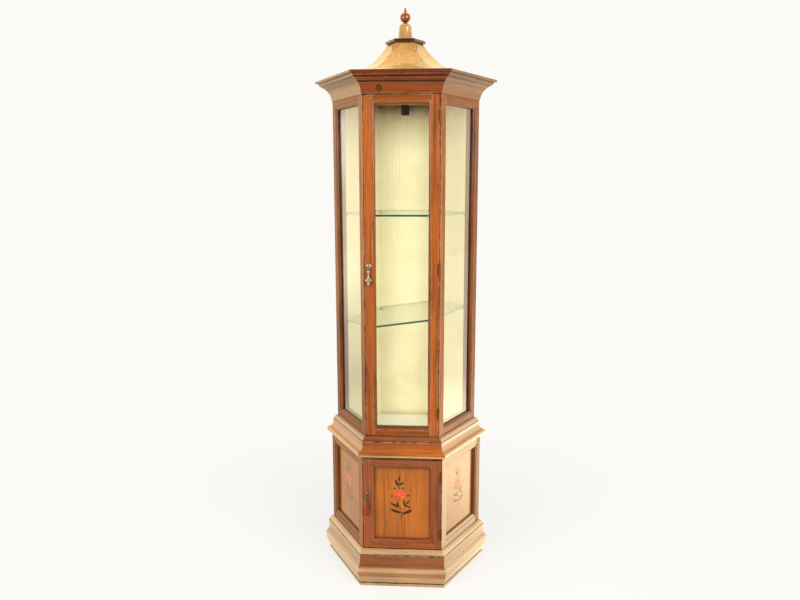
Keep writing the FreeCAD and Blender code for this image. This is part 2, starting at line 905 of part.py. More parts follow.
def build_cupboard():
    """Posts, rails, panels and floor of the cupboard, then its door with lock, key and tassel."""
    panelled = panel_edge(cupboard_stile_sight, cupboard_frame)
    plain = plain_edge(cupboard_stile_sight, cupboard_frame)
    edges = [door_edge(), panelled, plain, plain, plain, panelled]
    posts = posts_around(cupboard_flat, edges, cupboard_frame, plinth_bottom, waist_bottom)
    lock_case, bolt, mortise = lock_pieces()
    save("lock_case", [lock_case])
    save("lock_bolt", [bolt])
    save("cupboard_post_front_right", [posts[front]])
    save("cupboard_post_front_left", [less(posts[front_left], [mortise])])
    save("cupboard_rear_posts", [posts[turn] for turn in (front_right, back_right, back, back_left)])
    build_cupboard_fill(posts)
    build_lower_door()


def build_cupboard_fill(posts):
    """Rails, fixed panels and floor between the cupboard posts."""
    flat = cupboard_flat
    rear = (back_right, back, back_left)
    shown = (front_right, front_left)
    low = lower_door_bottom + cupboard_rail_sight
    high = lower_door_top - cupboard_rail_sight
    bottom_sight = low - plinth_bottom
    top_sight = waist_bottom - high
    reach = cupboard_half - cupboard_stile_sight + panel_moulding
    side_ends = [on_turn(posts[front], -front_right), on_turn(posts[front_right], -front_right)]
    side_bottom = rail(panel_edge(bottom_sight, cupboard_frame), plinth_bottom, 1, flat, reach, side_ends)
    side_top = rail(panel_edge(top_sight, cupboard_frame), waist_bottom, -1, flat, reach, side_ends)
    rear_ends = [on_turn(posts[back_right], -back), on_turn(posts[back], -back)]
    rear_bottom = rail(plain_edge(bottom_sight, cupboard_frame), plinth_bottom, 1, flat, reach, rear_ends)
    rear_top = rail(plain_edge(top_sight, cupboard_frame), waist_bottom, -1, flat, reach, rear_ends)
    sill = face_board(flat, cupboard_half - corner_lip, plinth_bottom, cupboard_bottom, 0, door_seat)
    side_bottoms = [on_turn(side_bottom, turn) for turn in shown]
    side_tops = [on_turn(side_top, turn) for turn in shown]
    rear_bottoms = [on_turn(rear_bottom, turn) for turn in rear]
    rear_tops = [on_turn(rear_top, turn) for turn in rear]
    save("cupboard_bottom_rails", [sill] + side_bottoms + rear_bottoms)
    save("cupboard_top_rails", side_tops + rear_tops)
    grip = panel_groove - seat_gap
    half_width = cupboard_half - cupboard_stile_sight + grip
    panel = face_board(flat, half_width, low - grip, high + grip, panel_seat, panel_thickness)
    board = face_board(flat, half_width, low - grip, high + grip, rear_panel_seat, rear_panel_thickness)
    save("cupboard_panel_front_right", [on_turn(panel, front_right)])
    save("cupboard_panel_front_left", [on_turn(panel, front_left)])
    save("cupboard_rear_panels", [on_turn(board, turn) for turn in rear])
    floor_flats = [flat - cupboard_frame] * sides
    floor_flats[front] = flat - door_seat
    floor = hex_board(floor_flats, cupboard_floor_top - floor_board, floor_board)
    save("cupboard_floor", [less(floor, posts)])


def build_lower_door():
    """Stiles, rails and panel of the lower door, with escutcheon, key and tassel."""
    flat = cupboard_flat
    stile_edge = panel_edge(lower_door_stile_sight, door_thickness)
    rail_edge = panel_edge(cupboard_rail_sight, door_thickness)
    lock_stile = upright(stile_edge, -lower_door_half, 1, flat, lower_door_bottom, lower_door_top)
    hinge_stile = upright(stile_edge, lower_door_half, -1, flat, lower_door_bottom, lower_door_top)
    stiles = [lock_stile, hinge_stile]
    reach = lower_door_half - lower_door_stile_sight + panel_moulding
    top_rail = rail(rail_edge, lower_door_top, -1, flat, reach, stiles)
    bottom_rail = rail(rail_edge, lower_door_bottom, 1, flat, reach, stiles)
    inside = Vector(lock_x, door_thickness - flat, lock_z)
    bore = round_bore(key_radius + running_gap, inside, outward * 2 * door_thickness, sides)
    grip = panel_groove - seat_gap
    half_width = lower_door_half - lower_door_stile_sight + grip
    low = lower_door_bottom + cupboard_rail_sight - grip
    high = lower_door_top - cupboard_rail_sight + grip
    save("lower_door_stiles", [less(lock_stile, [bore]), hinge_stile])
    save("lower_door_rails", [top_rail, bottom_rail])
    save("lower_door_panel", [face_board(flat, half_width, low, high, panel_seat, panel_thickness)])
    save("key_escutcheon", [escutcheon_piece()])
    save("key", [key_piece()])
    save("key_tassel", [tassel_piece()])


def shelf_flats():
    """Distances of the six shelf edges from the middle."""
    side = case_flat - case_frame - shelf_gap
    rear = side - lining_thickness
    return [case_flat - door_thickness - shelf_door_gap, side, rear, rear, rear, side]


def shelf_bearing(tilt, along):
    """Height of the under side of a tilted shelf, above its height at the middle."""
    return along * math.tan(math.radians(tilt))


def shelf(height, tilt):
    """A six-sided glass shelf, level or with its right side up."""
    board = hex_board(shelf_flats(), 0, shelf_thickness)
    board.rotate(Vector(), Vector(0, 1, 0), -tilt)
    board.translate(up * height)
    return board


def shelf_pegs(height, tilt, play):
    """A peg of six-sided bar from each post under the corner of a shelf, with some play round it."""
    pegs = []
    for turn, corner in enumerate(hex_corners(shelf_flats(), 0)):
        if turn in (front, front_left):
            side = math.copysign(1, corner.x)
            out = Vector(side, 0, 0)
            depth = door_seat + peg_radius + seat_gap
            stop_side = case_half - corner_lip - stop_width
            end = Vector(side * stop_side, depth - case_flat, 0) + out * front_peg_bury
            start = Vector(corner.x, end.y, 0) - out * peg_bearing
        else:
            out = Vector(corner.x, 0, 0) if turn in (front_right, back_left) else Vector(corner)
            out.normalize()
            end = out * ((case_flat - case_frame) * corner_share + peg_bury)
            start = out * (corner.Length - peg_bearing)
        drop = (peg_radius + seat_gap) / math.cos(math.radians(tilt))
        lower_end = min(shelf_bearing(tilt, start.x), shelf_bearing(tilt, corner.x))
        level = up * (height + lower_end - drop)
        pegs.append(round_bar(peg_radius + play, start + level, end - start, sides))
    return pegs


def build_case(head):
    """Posts, rails, glass, back boards, linings, shelves and ceiling of the case, then its door."""
    glazed = glazed_edge(case_stile_sight, case_frame)
    plain = plain_edge(rear_stile_sight, case_frame)
    front_glazed = glazed_edge(case_stile_sight, front_post_frame)
    posts = []
    edges = [door_edge(), glazed, plain, plain, plain, glazed]
    front_edges = [door_edge(), front_glazed, plain, plain, plain, front_glazed]
    for turn in range(sides):
        used = front_edges if turn in (front, front_left) else edges
        posts.append(posts_around(case_flat, used, case_frame, floor_top, cornice_top)[turn])
    upper = floor_top + upper_shelf_height
    lower = floor_top + lower_shelf_height
    holes = shelf_pegs(upper, 0, running_gap) + shelf_pegs(lower, lower_shelf_tilt, running_gap)
    drilled = [less(solid, holes) for solid in posts]
    save("case_post_front_right", [drilled[front]])
    save("case_post_front_left", [drilled[front_left]])
    save("case_rear_posts", [drilled[turn] for turn in (front_right, back_right, back, back_left)])
    save("shelf_pegs", shelf_pegs(upper, 0, 0) + shelf_pegs(lower, lower_shelf_tilt, 0))
    save("upper_shelf", [shelf(upper, 0)])
    save("lower_shelf", [shelf(lower, lower_shelf_tilt)])
    build_case_fill(posts, head)
    build_case_inside(posts, holes)
    build_upper_door()


def build_case_fill(posts, head):
    """Rails, side panes with their beads, and back boards between the case posts."""
    flat = case_flat
    rear = (back_right, back, back_left)
    glazed = (front_right, front_left)
    low = upper_door_bottom + case_rail_sight
    high = upper_door_top - case_rail_sight
    land_half = case_half - case_stile_sight + glazing_moulding
    side_ends = [on_turn(posts[front], -front_right), on_turn(posts[front_right], -front_right)]
    side_low_edge = glazed_edge(low - floor_top, case_frame)
    side_high_edge = glazed_edge(cornice_top - high, case_frame)
    side_bottom = rail(side_low_edge, floor_top, 1, flat, land_half, side_ends)
    side_top = rail(side_high_edge, cornice_top, -1, flat, land_half, side_ends)
    rear_ends = [on_turn(posts[back_right], -back), on_turn(posts[back], -back)]
    rear_half = case_half - rear_stile_sight + panel_groove
    rear_low = case_bottom + rear_rail_sight
    rear_high = cornice_bottom - rear_rail_sight
    rear_low_edge = plain_edge(rear_low - floor_top, case_frame)
    rear_high_edge = plain_edge(cornice_top - rear_high, case_frame)
    rear_bottom = rail(rear_low_edge, floor_top, 1, flat, rear_half, rear_ends)
    rear_top = rail(rear_high_edge, cornice_top, -1, flat, rear_half, rear_ends)
    sill = face_board(flat, case_half - corner_lip, floor_top, case_bottom, 0, door_seat)
    side_bottoms = [on_turn(side_bottom, turn) for turn in glazed]
    side_tops = [on_turn(side_top, turn) for turn in glazed]
    rear_bottoms = [on_turn(rear_bottom, turn) for turn in rear]
    rear_tops = [on_turn(rear_top, turn) for turn in rear]
    save("case_bottom_rails", [sill] + side_bottoms + rear_bottoms)
    save("case_top_rails", [head] + side_tops + rear_tops)
    edge = glazing_moulding - seat_gap
    pane = face_board(flat, land_half - seat_gap, low - edge, high + edge, glass_seat, glass_thickness)
    save("side_panes", [on_turn(pane, turn) for turn in glazed])
    bead_seat = glass_seat + glass_thickness
    bead_low = low - glazing_moulding
    bead_high = high + glazing_moulding
    strips = glazing_strips(flat, land_half, bead_low, bead_high, bead_seat, case_frame)
    save("side_glazing_beads", [on_turn(strip, turn) for turn in glazed for strip in strips])
    grip = panel_groove - seat_gap
    board_half = case_half - rear_stile_sight + grip
    board_low = rear_low - grip
    board_high = rear_high + grip
    board = face_board(flat, board_half, board_low, board_high, rear_panel_seat, rear_panel_thickness)
    save("case_back_boards", [on_turn(board, turn) for turn in rear])


def build_case_inside(posts, holes):
    """Floor, linings, ceiling, lamp holder and magnetic catch inside the case."""
    inner = case_flat - case_frame
    board_flats = [inner] * sides
    board_flats[front] = case_flat - door_seat
    save("case_floor", [hex_board([case_flat] * sides, waist_bottom, floor_board)])
    save("floor_lining", [less(hex_board(board_flats, floor_top, floor_lining_thickness), posts)])
    section = [
        (inner - lining_thickness, lining_bottom, 0),
        (inner, lining_bottom, 0),
        (inner, cornice_bottom, 0),
        (inner - lining_thickness, cornice_bottom, 0),
    ]
    names = ("lining_back_right", "lining_back", "lining_back_left")
    for name, lining in zip(names, mitred(section, (back_right, back, back_left))):
        save(name, [less(lining, holes)])
    ceiling_flats = [inner] * sides
    save("ceiling_board", [less(hex_board(ceiling_flats, cornice_bottom, ceiling_board), posts)])
    save("lamp_holder", [lamp_holder()])
    magnet_y = door_thickness + strike_thickness + catch_gap - case_flat
    left = -catch_from_middle - catch_width / 2
    magnet = box(
        Vector(left, magnet_y, cornice_bottom - catch_height),
        Vector(left + catch_width, magnet_y + catch_deep, cornice_bottom),
    )
    save("catch_magnet", [magnet])


def lamp_holder():
    """Lamp holder under the ceiling, open below."""
    section = [
        (0, holder_length, 0),
        (0, holder_bore_depth, 0),
        (holder_bore, holder_bore_depth, 0),
        (holder_bore, 0, 0),
        (holder_radius, 0, 0),
        (holder_radius, holder_length - holder_flange_height, 0),
        (holder_flange_radius, holder_length - holder_flange_height, 0),
        (holder_flange_radius, holder_length, 0),
    ]
    return turned(section, up * (cornice_bottom - holder_length), up, bar_sides)


def build_upper_door():
    """Stiles, rails, glass and beads of the upper door, with the catch's strike and the drop pull."""
    flat = case_flat
    stile_edge = glazed_edge(upper_door_stile_sight, door_thickness)
    rail_edge = glazed_edge(case_rail_sight, door_thickness)
    stiles = [
        upright(stile_edge, -upper_door_half, 1, flat, upper_door_bottom, upper_door_top),
        upright(stile_edge, upper_door_half, -1, flat, upper_door_bottom, upper_door_top),
    ]
    land_half = upper_door_half - upper_door_stile_sight + glazing_moulding
    low = upper_door_bottom + case_rail_sight - glazing_moulding
    high = upper_door_top - case_rail_sight + glazing_moulding
    top_rail = rail(rail_edge, upper_door_top, -1, flat, land_half, stiles)
    bottom_rail = rail(rail_edge, upper_door_bottom, 1, flat, land_half, stiles)
    glass_half = land_half - seat_gap
    glass = face_board(flat, glass_half, low + seat_gap, high - seat_gap, glass_seat, glass_thickness)
    bead_seat = glass_seat + glass_thickness
    save("upper_door_stiles", stiles)
    save("upper_door_rails", [top_rail, bottom_rail])
    save("upper_door_glass", [glass])
    save("upper_door_beads", glazing_strips(flat, land_half, low, high, bead_seat, door_thickness))
    strike_half = catch_width / 2 - strike_margin
    strike_y = door_thickness - flat
    strike = box(
        Vector(-catch_from_middle - strike_half, strike_y, cornice_bottom - catch_height + strike_margin),
        Vector(strike_half - catch_from_middle, strike_y + strike_thickness, upper_door_top - strike_margin),
    )
    save("catch_strike", [strike])
    centre = Vector(pull_inset - upper_door_half, -flat, case_bottom + pull_height)
    save("pull_rosette", [rosette_piece(centre)])
    save("pull_drop", [drop_piece(centre + outward * pull_stud_length)])


def rosette_piece(centre):
    """Domed rosette with a stud, its flattened end pierced for the drop's pin."""
    flats_start = pull_stud_length - fork_radius - fork_gap
    section = [
        (0, 0, 0),
        (rosette_radius, 0, 0),
        (rosette_radius, rosette_rim, 0),
        (pull_stud_radius, rosette_thickness, soft_round_share),
        (pull_stud_radius, flats_start, 0),
        (0, flats_start, 0),
    ]
    pivot = centre + outward * pull_stud_length
    half = Vector(pull_stud_flat, 0, pull_stud_radius)
    tongue = box(pivot - half, pivot + half - outward * (fork_radius + fork_gap))
    across = Vector(pull_stud_flat, 0, 0)
    eye = round_bar(pull_stud_radius, pivot - across, across * 2)
    hole = round_bore(pull_pin_radius + running_gap, pivot - across * 2, across * 4, sides)
    body = turned(section, centre, outward, bar_sides)
    return largest(body.fuse([tongue, eye]).cut(hole).removeSplitter())


def drop_piece(pivot):
    """Turned drop hung by a fork, whose pin runs in the stud."""
    section = [
        (0, -drop_end_drop, 0),
        (drop_ball_radius, drop_ball_radius - drop_end_drop, quarter_round_share),
        (drop_under_radius, -drop_under_drop, soft_round_share),
        (drop_radius, -drop_brim_drop - drop_brim_height, 0),
        (drop_radius, -drop_brim_drop, 0),
        (drop_neck_radius, -drop_neck_drop, bell_share),
        (drop_neck_radius, -bulb_drop - bulb_radius, 0),
        (bulb_radius, -bulb_drop, quarter_round_share),
        (0, bulb_radius - bulb_drop, quarter_round_share),
    ]
    body = turned(section, pivot, up, bar_sides)
    inner = pull_stud_flat + fork_gap
    pieces = []
    for side in (-1, 1):
        start = pivot + Vector(side * inner, 0, 0)
        cheek = Vector(side * fork_cheek, 0, 0)
        pieces.append(round_bar(fork_radius, start, cheek))
        middle = pivot + Vector(side * (inner + fork_cheek / 2), 0, 0)
        half = Vector(fork_cheek / 2, fork_radius / 2, 0)
        pieces.append(box(middle - half - up * bulb_drop, middle + half))
    outer = Vector(inner + fork_cheek, 0, 0)
    pieces.append(pin(pull_pin_radius, pivot - outer, outer * 2))
    return largest(body.fuse(pieces).removeSplitter())


os.makedirs("parts", exist_ok=True)
build_bottom()
build_cupboard()
build_case(build_cornice_and_head())
build_top()
build_hinges()
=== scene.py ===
import json
import math
from functools import partial

import bmesh
import bpy
import numpy as np
from bpy.props import FloatProperty, FloatVectorProperty, PointerProperty
from mathutils import Matrix, Vector


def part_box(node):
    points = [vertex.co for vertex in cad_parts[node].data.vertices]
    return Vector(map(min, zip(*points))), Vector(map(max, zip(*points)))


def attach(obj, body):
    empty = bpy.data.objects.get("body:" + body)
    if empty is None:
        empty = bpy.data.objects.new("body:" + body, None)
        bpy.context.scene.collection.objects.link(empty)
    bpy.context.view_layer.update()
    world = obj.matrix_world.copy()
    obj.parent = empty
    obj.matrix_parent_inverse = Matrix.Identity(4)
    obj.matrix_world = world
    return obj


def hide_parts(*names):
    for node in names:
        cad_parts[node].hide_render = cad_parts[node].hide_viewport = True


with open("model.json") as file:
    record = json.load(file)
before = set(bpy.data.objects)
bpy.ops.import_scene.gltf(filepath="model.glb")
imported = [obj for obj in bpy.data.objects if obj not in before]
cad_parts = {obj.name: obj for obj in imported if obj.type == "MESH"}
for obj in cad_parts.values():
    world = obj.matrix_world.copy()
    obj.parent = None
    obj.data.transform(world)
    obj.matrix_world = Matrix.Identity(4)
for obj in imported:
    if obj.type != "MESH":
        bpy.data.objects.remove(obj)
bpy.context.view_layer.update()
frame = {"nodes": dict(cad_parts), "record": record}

bl_info = {
    "name": "Display cabinet",
    "version": (1, 0, 0),
    "blender": (4, 5, 0),
    "location": "View3D > Sidebar > Cabinet",
    "description": "Dresses the frame of a six-sided display cabinet and sets it on a pale stage",
    "category": "Object",
}

nodes = frame["nodes"]

MM = 0.001
SIXTH = math.pi / 3
FULL_TURN = 2 * math.pi
# Bulge of a quarter circle, as a share of its chord
QUARTER = 0.2071


def linear(code):
    """An sRGB hex colour as linear red, green and blue, with alpha."""
    parts = [int(code[i:i + 2], 16) / 255 for i in (1, 3, 5)]
    parts = [p / 12.92 if p <= 0.04045 else ((p + 0.055) / 1.055) ** 2.4 for p in parts]
    return tuple(parts) + (1.0,)


def size(name, description, millimetres):
    """A length that a user may change."""
    return FloatProperty(
        name=name, description=description, default=millimetres * MM, unit="LENGTH", precision=5,
    )


def angle(name, description, degrees):
    """An angle that a user may change."""
    return FloatProperty(name=name, description=description, default=math.radians(degrees), subtype="ANGLE")


def power(name, description, watts):
    """A lamp's power that a user may change."""
    return FloatProperty(name=name, description=description, default=watts, unit="POWER")


def colour(name, description, code):
    """A colour that a user may change."""
    return FloatVectorProperty(
        name=name, description=description, default=linear(code), subtype="COLOR", size=4,
    )


class CabinetSizes(bpy.types.PropertyGroup):
    """Sizes of the cloth, the paintwork and the grain."""

    rib_pitch: size("Rib pitch", "Distance between the pleats of the lining", 12.2)
    rib_depth: size("Rib depth", "How far a pleat stands out", 1.2)
    cloth_thickness: size("Cloth thickness", "Thickness of the lining's cloth", 0.6)
    thread_gap: size("Thread gap", "Distance between the lining's threads, drawn coarse enough to show", 1.6)
    paint_thickness: size("Paint thickness", "How far a brush stroke stands out", 0.4)
    grain_width: size("Grain width", "Width of a streak of the wood's grain", 3.0)
    grain_length: size("Grain length", "Length of a streak of the wood's grain", 110.0)
    worn_edge: size("Worn edge", "Width of the rubbed strip along an edge", 3.0)
    eased_edge: size("Eased edge", "Radius that a sharp arris is rounded to", 0.8)
    # Reach of the painted shade that darkens the wood in corners and recesses
    recess: size("Recess", "Reach of the dirt that sits in a corner", 18.0)


class CabinetColours(bpy.types.PropertyGroup):
    """Colours of the finishes."""

    frame_wood: colour("Frame", "Lacquered posts, stiles and rails", "#924A14")
    cornice_wood: colour("Cornice", "Lacquered cornice lengths", "#7C3808")
    door_wood: colour("Lower door", "Darker stiles and rails of the cupboard door", "#8A4212")
    waist_wood: colour("Waist", "Lacquered waist lengths", "#C8925A")
    plinth_wood: colour("Plinth", "Worn lacquered plinth lengths", "#B89066")
    panel_wood: colour("Panels", "Golden panels of the cupboard", "#A45810")
    bead_wood: colour("Beads", "Beads that hold the glass", "#8C4A18")
    back_wood: colour("Back", "Plain boards at the back and inside", "#8C5E38")
    roof_wood: colour("Roof", "Golden roof boards", "#C8944E")
    cap_wood: colour("Cap", "Dark plate over the roof", "#3C1A10")
    bell_wood: colour("Bell", "Golden turned bell", "#BE8C54")
    finial_wood: colour("Finial", "Red-brown turned finial", "#924420")
    # Also the pale wood that side-facing faces are mixed toward: painted side light
    wear_and_side_light: colour("Rubbed edge", "Bare wood where the lacquer is rubbed off", "#E6C9A0")
    # Painted shade: the colour that the wood's corners and recesses are darkened toward
    corner_shade: colour("Dirt", "Old wax and dust in the corners", "#2A1206")
    cloth: colour("Lining", "Pale yellow cloth", "#FDF3C4")
    # Colour of the darker, browner band along the lining's top edge, and of the clouds
    stain: colour("Stain", "Old damp along the lining's top edge", "#A87C44")
    floor_paint: colour("Floor", "Cream paint of the case's floor", "#FFFFF4")
    pane: colour("Panes", "Faint tint of window glass", "#FDFEFD")
    shelf_edge: colour("Shelf edge", "Green edge of plate glass", "#2E5A44")
    brass: colour("Brass", "Aged brass of the pull and the keyhole", "#CDBFA4")
    hinge: colour("Hinges", "Dull brass of the hinges and the switch", "#7A5A30")
    steel: colour("Steel", "Worn steel of the lock and key", "#6A645C")
    plastic: colour("Plastic", "Black moulded plastic", "#141412")
    silk: colour("Tassel", "Red silk", "#8E1A10")
    leaf: colour("Leaf", "Dark green-brown leaf strokes", "#382C14")
    petal: colour("Petal", "Orange-red petals", "#D9562A")
    stem: colour("Stem", "Ochre stem", "#C8862F")
    heart: colour("Heart", "Yellow dots in the flower", "#F2B84A")
    line: colour("Line", "Brown line ornament of the roof", "#7A431A")
    faded_paint: colour("Faded paint", "What daylight leaves of the paint on the side panels", "#D8A878")
    blush: colour("Blush", "Reddish dabs on the roof", "#D98848")


class CabinetStage(bpy.types.PropertyGroup):
    """Camera and light."""

    camera_place: FloatVectorProperty(
        name="Camera", description="Where the camera stands", default=(0.133, -2.403, 1.352),
        subtype="TRANSLATION",
    )
    camera_tilt: angle("Tilt", "Angle of the view from straight down", 80.21)
    camera_pan: angle("Pan", "Turn of the view to the left", 3.63)
    camera_roll: angle("Roll", "Turn of the picture about the view", -0.12)
    lens: FloatProperty(
        name="Lens", description="Focal length on a 36 mm sensor", default=31.55, unit="CAMERA",
    )
    pale: colour("Background", "Nearly white floor and wall", "#FBFAF6")
    warm: colour("Glare colour", "Warm light that the floor and wall throw on the lacquer", "#FFEBBC")
    glare: FloatProperty(
        name="Glare", description="Brightness of the wall that lacquer and glass mirror", default=1.7,
    )
    sky: FloatProperty(name="Sky", description="Strength of the all-round light on the object", default=0.68)
    key_power: power("Key", "Soft box at the front right", 99.0)
    fill_power: power("Fill", "Soft box at the front left", 83.0)
    right_power: power("Right", "Wide soft box at the back right", 22.0)
    left_power: power("Left", "Wide soft box at the back left", 14.0)


# Shapes

SAME_POINT = 0.001 * MM
SHARP_EDGE = math.radians(38)


def outline(points, steps=10):
    """A half section as an array of (radius, height). Each point is (radius, height, bulge), and the run to
    it is an arc that stands out by bulge times its chord: with half angle a = 2 atan(2 bulge), the share
    along the chord is (1 + sin(f) / sin(a)) / 2 and the share beside it (cos(f) - cos(a)) / (2 sin(a)), for f
    from -a to a."""
    runs = [np.array([points[0][:2]], float)]
    for start, end in zip(points, points[1:]):
        low = np.array(start[:2], float)
        chord = np.array(end[:2], float) - low
        beside = np.array([chord[1], -chord[0]])
        half = 2 * math.atan(2 * end[2])
        count = steps if end[2] else 1
        turn = half * (2 * np.arange(1, count + 1) / count - 1)[:, None]
        along = (1 + np.sin(turn) / math.sin(half)) / 2 if end[2] else np.ones((1, 1))
        aside = (np.cos(turn) - math.cos(half)) / (2 * math.sin(half)) if end[2] else np.zeros((1, 1))
        runs.append(low + along * chord + aside * beside)
    return np.concatenate(runs)


def square_to(axis):
    """Two unit vectors square to an axis and to each other."""
    axis = np.array(Vector(axis).normalized())
    helper = np.eye(3)[np.argmin(abs(axis))]
    first = np.cross(helper, axis)
    first /= np.linalg.norm(first)
    return axis, first, np.cross(axis, first)


def turned(section, foot, axis, count=48):
    """A turning: foot + axis * height + radius * (cos(a) * first + sin(a) * second), for each point (radius,
    height) of a half section and each angle a of a full turn."""
    axis, first, second = square_to(axis)
    turn = np.linspace(0, FULL_TURN, count + 1)[None, :, None]
    radius = section[:, 0][:, None, None]
    height = section[:, 1][:, None, None]
    return np.array(foot) + axis * height + radius * (np.cos(turn) * first + np.sin(turn) * second)


def ring(radius, bar, centre, axis, count=48, around=16):
    """A round ring: a circle of the bar's radius, carried round a circle of the ring's radius."""
    turn = np.linspace(0, FULL_TURN, around + 1)
    section = np.stack([radius + bar * np.cos(turn), bar * np.sin(turn)], -1)
    return turned(section, centre, axis, count)


def rod(radius, start, end, count=24):
    """A closed round rod between two points: a turning of a rectangle."""
    along = Vector(end) - Vector(start)
    section = np.array([(0, 0), (radius, 0), (radius, along.length), (0, along.length)])
    return turned(section, start, along, count)


def slab(low, high):
    """A block between two corners: a square of four angles carried up, its ends drawn in to the middle."""
    low, high = np.array(low, float), np.array(high, float)
    middle, half = (low + high) / 2, (high - low) / 2
    turn = np.linspace(0, FULL_TURN, 5)[None, :] + math.pi / 4
    reach = np.array([0, 1, 1, 0])[:, None] * math.sqrt(2)
    level = np.array([-1, -1, 1, 1])[:, None] + 0 * turn
    return middle + half * np.stack([reach * np.cos(turn), reach * np.sin(turn), level], -1)


def stroke(points, width, lift, place, swell=1.0, bluntness=0.6, steps=24, around=12):
    """A brush stroke: the polynomial through its points, with a lens across it whose half width is
    width / 2 * sin(pi t ** swell) ** bluntness and whose crown stands lift above the surface that place
    gives."""
    share = np.linspace(0, 1, len(points))
    fit = np.polyfit(share, np.array(points, float), len(points) - 1)
    t = np.linspace(0, 1, steps)[:, None]
    powers = t ** np.arange(len(points) - 1, -1, -1)
    middle = powers @ fit
    run = np.gradient(middle, axis=0)
    run /= np.linalg.norm(run, axis=1, keepdims=True)
    half = width / 2 * np.sin(math.pi * t ** swell).clip(0) ** bluntness
    turn = np.linspace(0, FULL_TURN, around + 1)[None, :]
    across = half * np.cos(turn)
    crown = lift * np.sin(turn).clip(-0.2) * (half / half.max())
    return place(middle[:, :1] - run[:, 1:] * across, middle[:, 1:] + run[:, :1] * across, crown)


def about_z(points, turn):
    """Points turned about the upright axis."""
    cos, sin = math.cos(turn), math.sin(turn)
    return points @ np.array([[cos, -sin, 0], [sin, cos, 0], [0, 0, 1]]).T


def add_piece(name, grids, material, body, stands_for=(), paints=None, maps=None, closed=True):
    """Joins grids of points into one object: each cell of a grid is a face, doubled points at seams and poles
    are merged, and a closed piece's faces are turned outwards. Paints gives each grid its colour, and maps
    its UV."""
    points, faces, first = [], [], 0
    for grid in grids:
        index = first + np.arange(grid[..., 0].size).reshape(grid.shape[:2])
        cell = [index[:-1, :-1], index[:-1, 1:], index[1:, 1:], index[1:, :-1]]
        faces.append(np.stack(cell, -1).reshape(-1, 4))
        points.append(grid.reshape(-1, 3))
        first += index.size
    points, faces = np.concatenate(points), np.concatenate(faces)
    mesh = bpy.data.meshes.new(name)
    mesh.from_pydata(points.tolist(), [], faces.tolist())
    if maps is not None:
        layer = mesh.uv_layers.new(name="cloth")
        layer.data.foreach_set("uv", np.concatenate([m.reshape(-1, 2) for m in maps])[faces.ravel()].ravel())
    if paints is not None:
        layer = mesh.attributes.new("paint", "FLOAT_COLOR", "POINT")
        each = [np.tile(paint, (grid[..., 0].size, 1)) for paint, grid in zip(paints, grids)]
        layer.data.foreach_set("color", np.concatenate(each).ravel())
    work = bmesh.new()
    work.from_mesh(mesh)
    bmesh.ops.remove_doubles(work, verts=work.verts, dist=SAME_POINT)
    if closed:
        bmesh.ops.recalc_face_normals(work, faces=work.faces)
    work.to_mesh(mesh)
    work.free()
    mesh.shade_smooth()
    mesh.set_sharp_from_angle(angle=SHARP_EDGE)
    mesh.materials.append(material)
    piece = bpy.data.objects.new(name, mesh)
    bpy.context.scene.collection.objects.link(piece)
    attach(piece, body)
    if stands_for:
        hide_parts(*stands_for)
    return piece


# Finishes


def add(tree, kind, inputs=(), out=0, stops=(), **settings):
    """Adds a node and gives back one of its outputs. Inputs are values, or the sockets that feed them, in the
    order of the node's own sockets or by name. Stops are the places and colours of a ramp, from low to high.
    Settings are the node's properties."""
    made = tree.nodes.new("ShaderNode" + kind)
    for name, value in settings.items():
        setattr(made, name, value)
    for name, value in inputs.items() if isinstance(inputs, dict) else enumerate(inputs):
        if isinstance(value, bpy.types.NodeSocket):
            tree.links.new(value, made.inputs[name])
        else:
            made.inputs[name].default_value = value
    if stops:
        marks = made.color_ramp.elements
        marks[0].position, marks[1].position = stops[0][0], stops[-1][0]
        for place, tint in stops[1:-1]:
            marks.new(place)
        for mark, (place, tint) in zip(marks, stops):
            mark.color = tint
    return made.outputs[out] if made.outputs else None


def cleared(owner):
    """Empties the node tree of a material or a world, and gives back the function that adds its nodes."""
    owner.use_nodes = True
    owner.node_tree.nodes.clear()
    return partial(add, owner.node_tree)


def new_material(name):
    """The function that adds a new material's nodes, and the Object coordinates that its patterns lie in."""
    node = cleared(bpy.data.materials.new(name))
    return node, node("TexCoord", out="Object")


def shaded(tint, share):
    """A colour made darker or lighter by a share."""
    return tuple(min(1.0, part * share) for part in tint[:3]) + (1.0,)


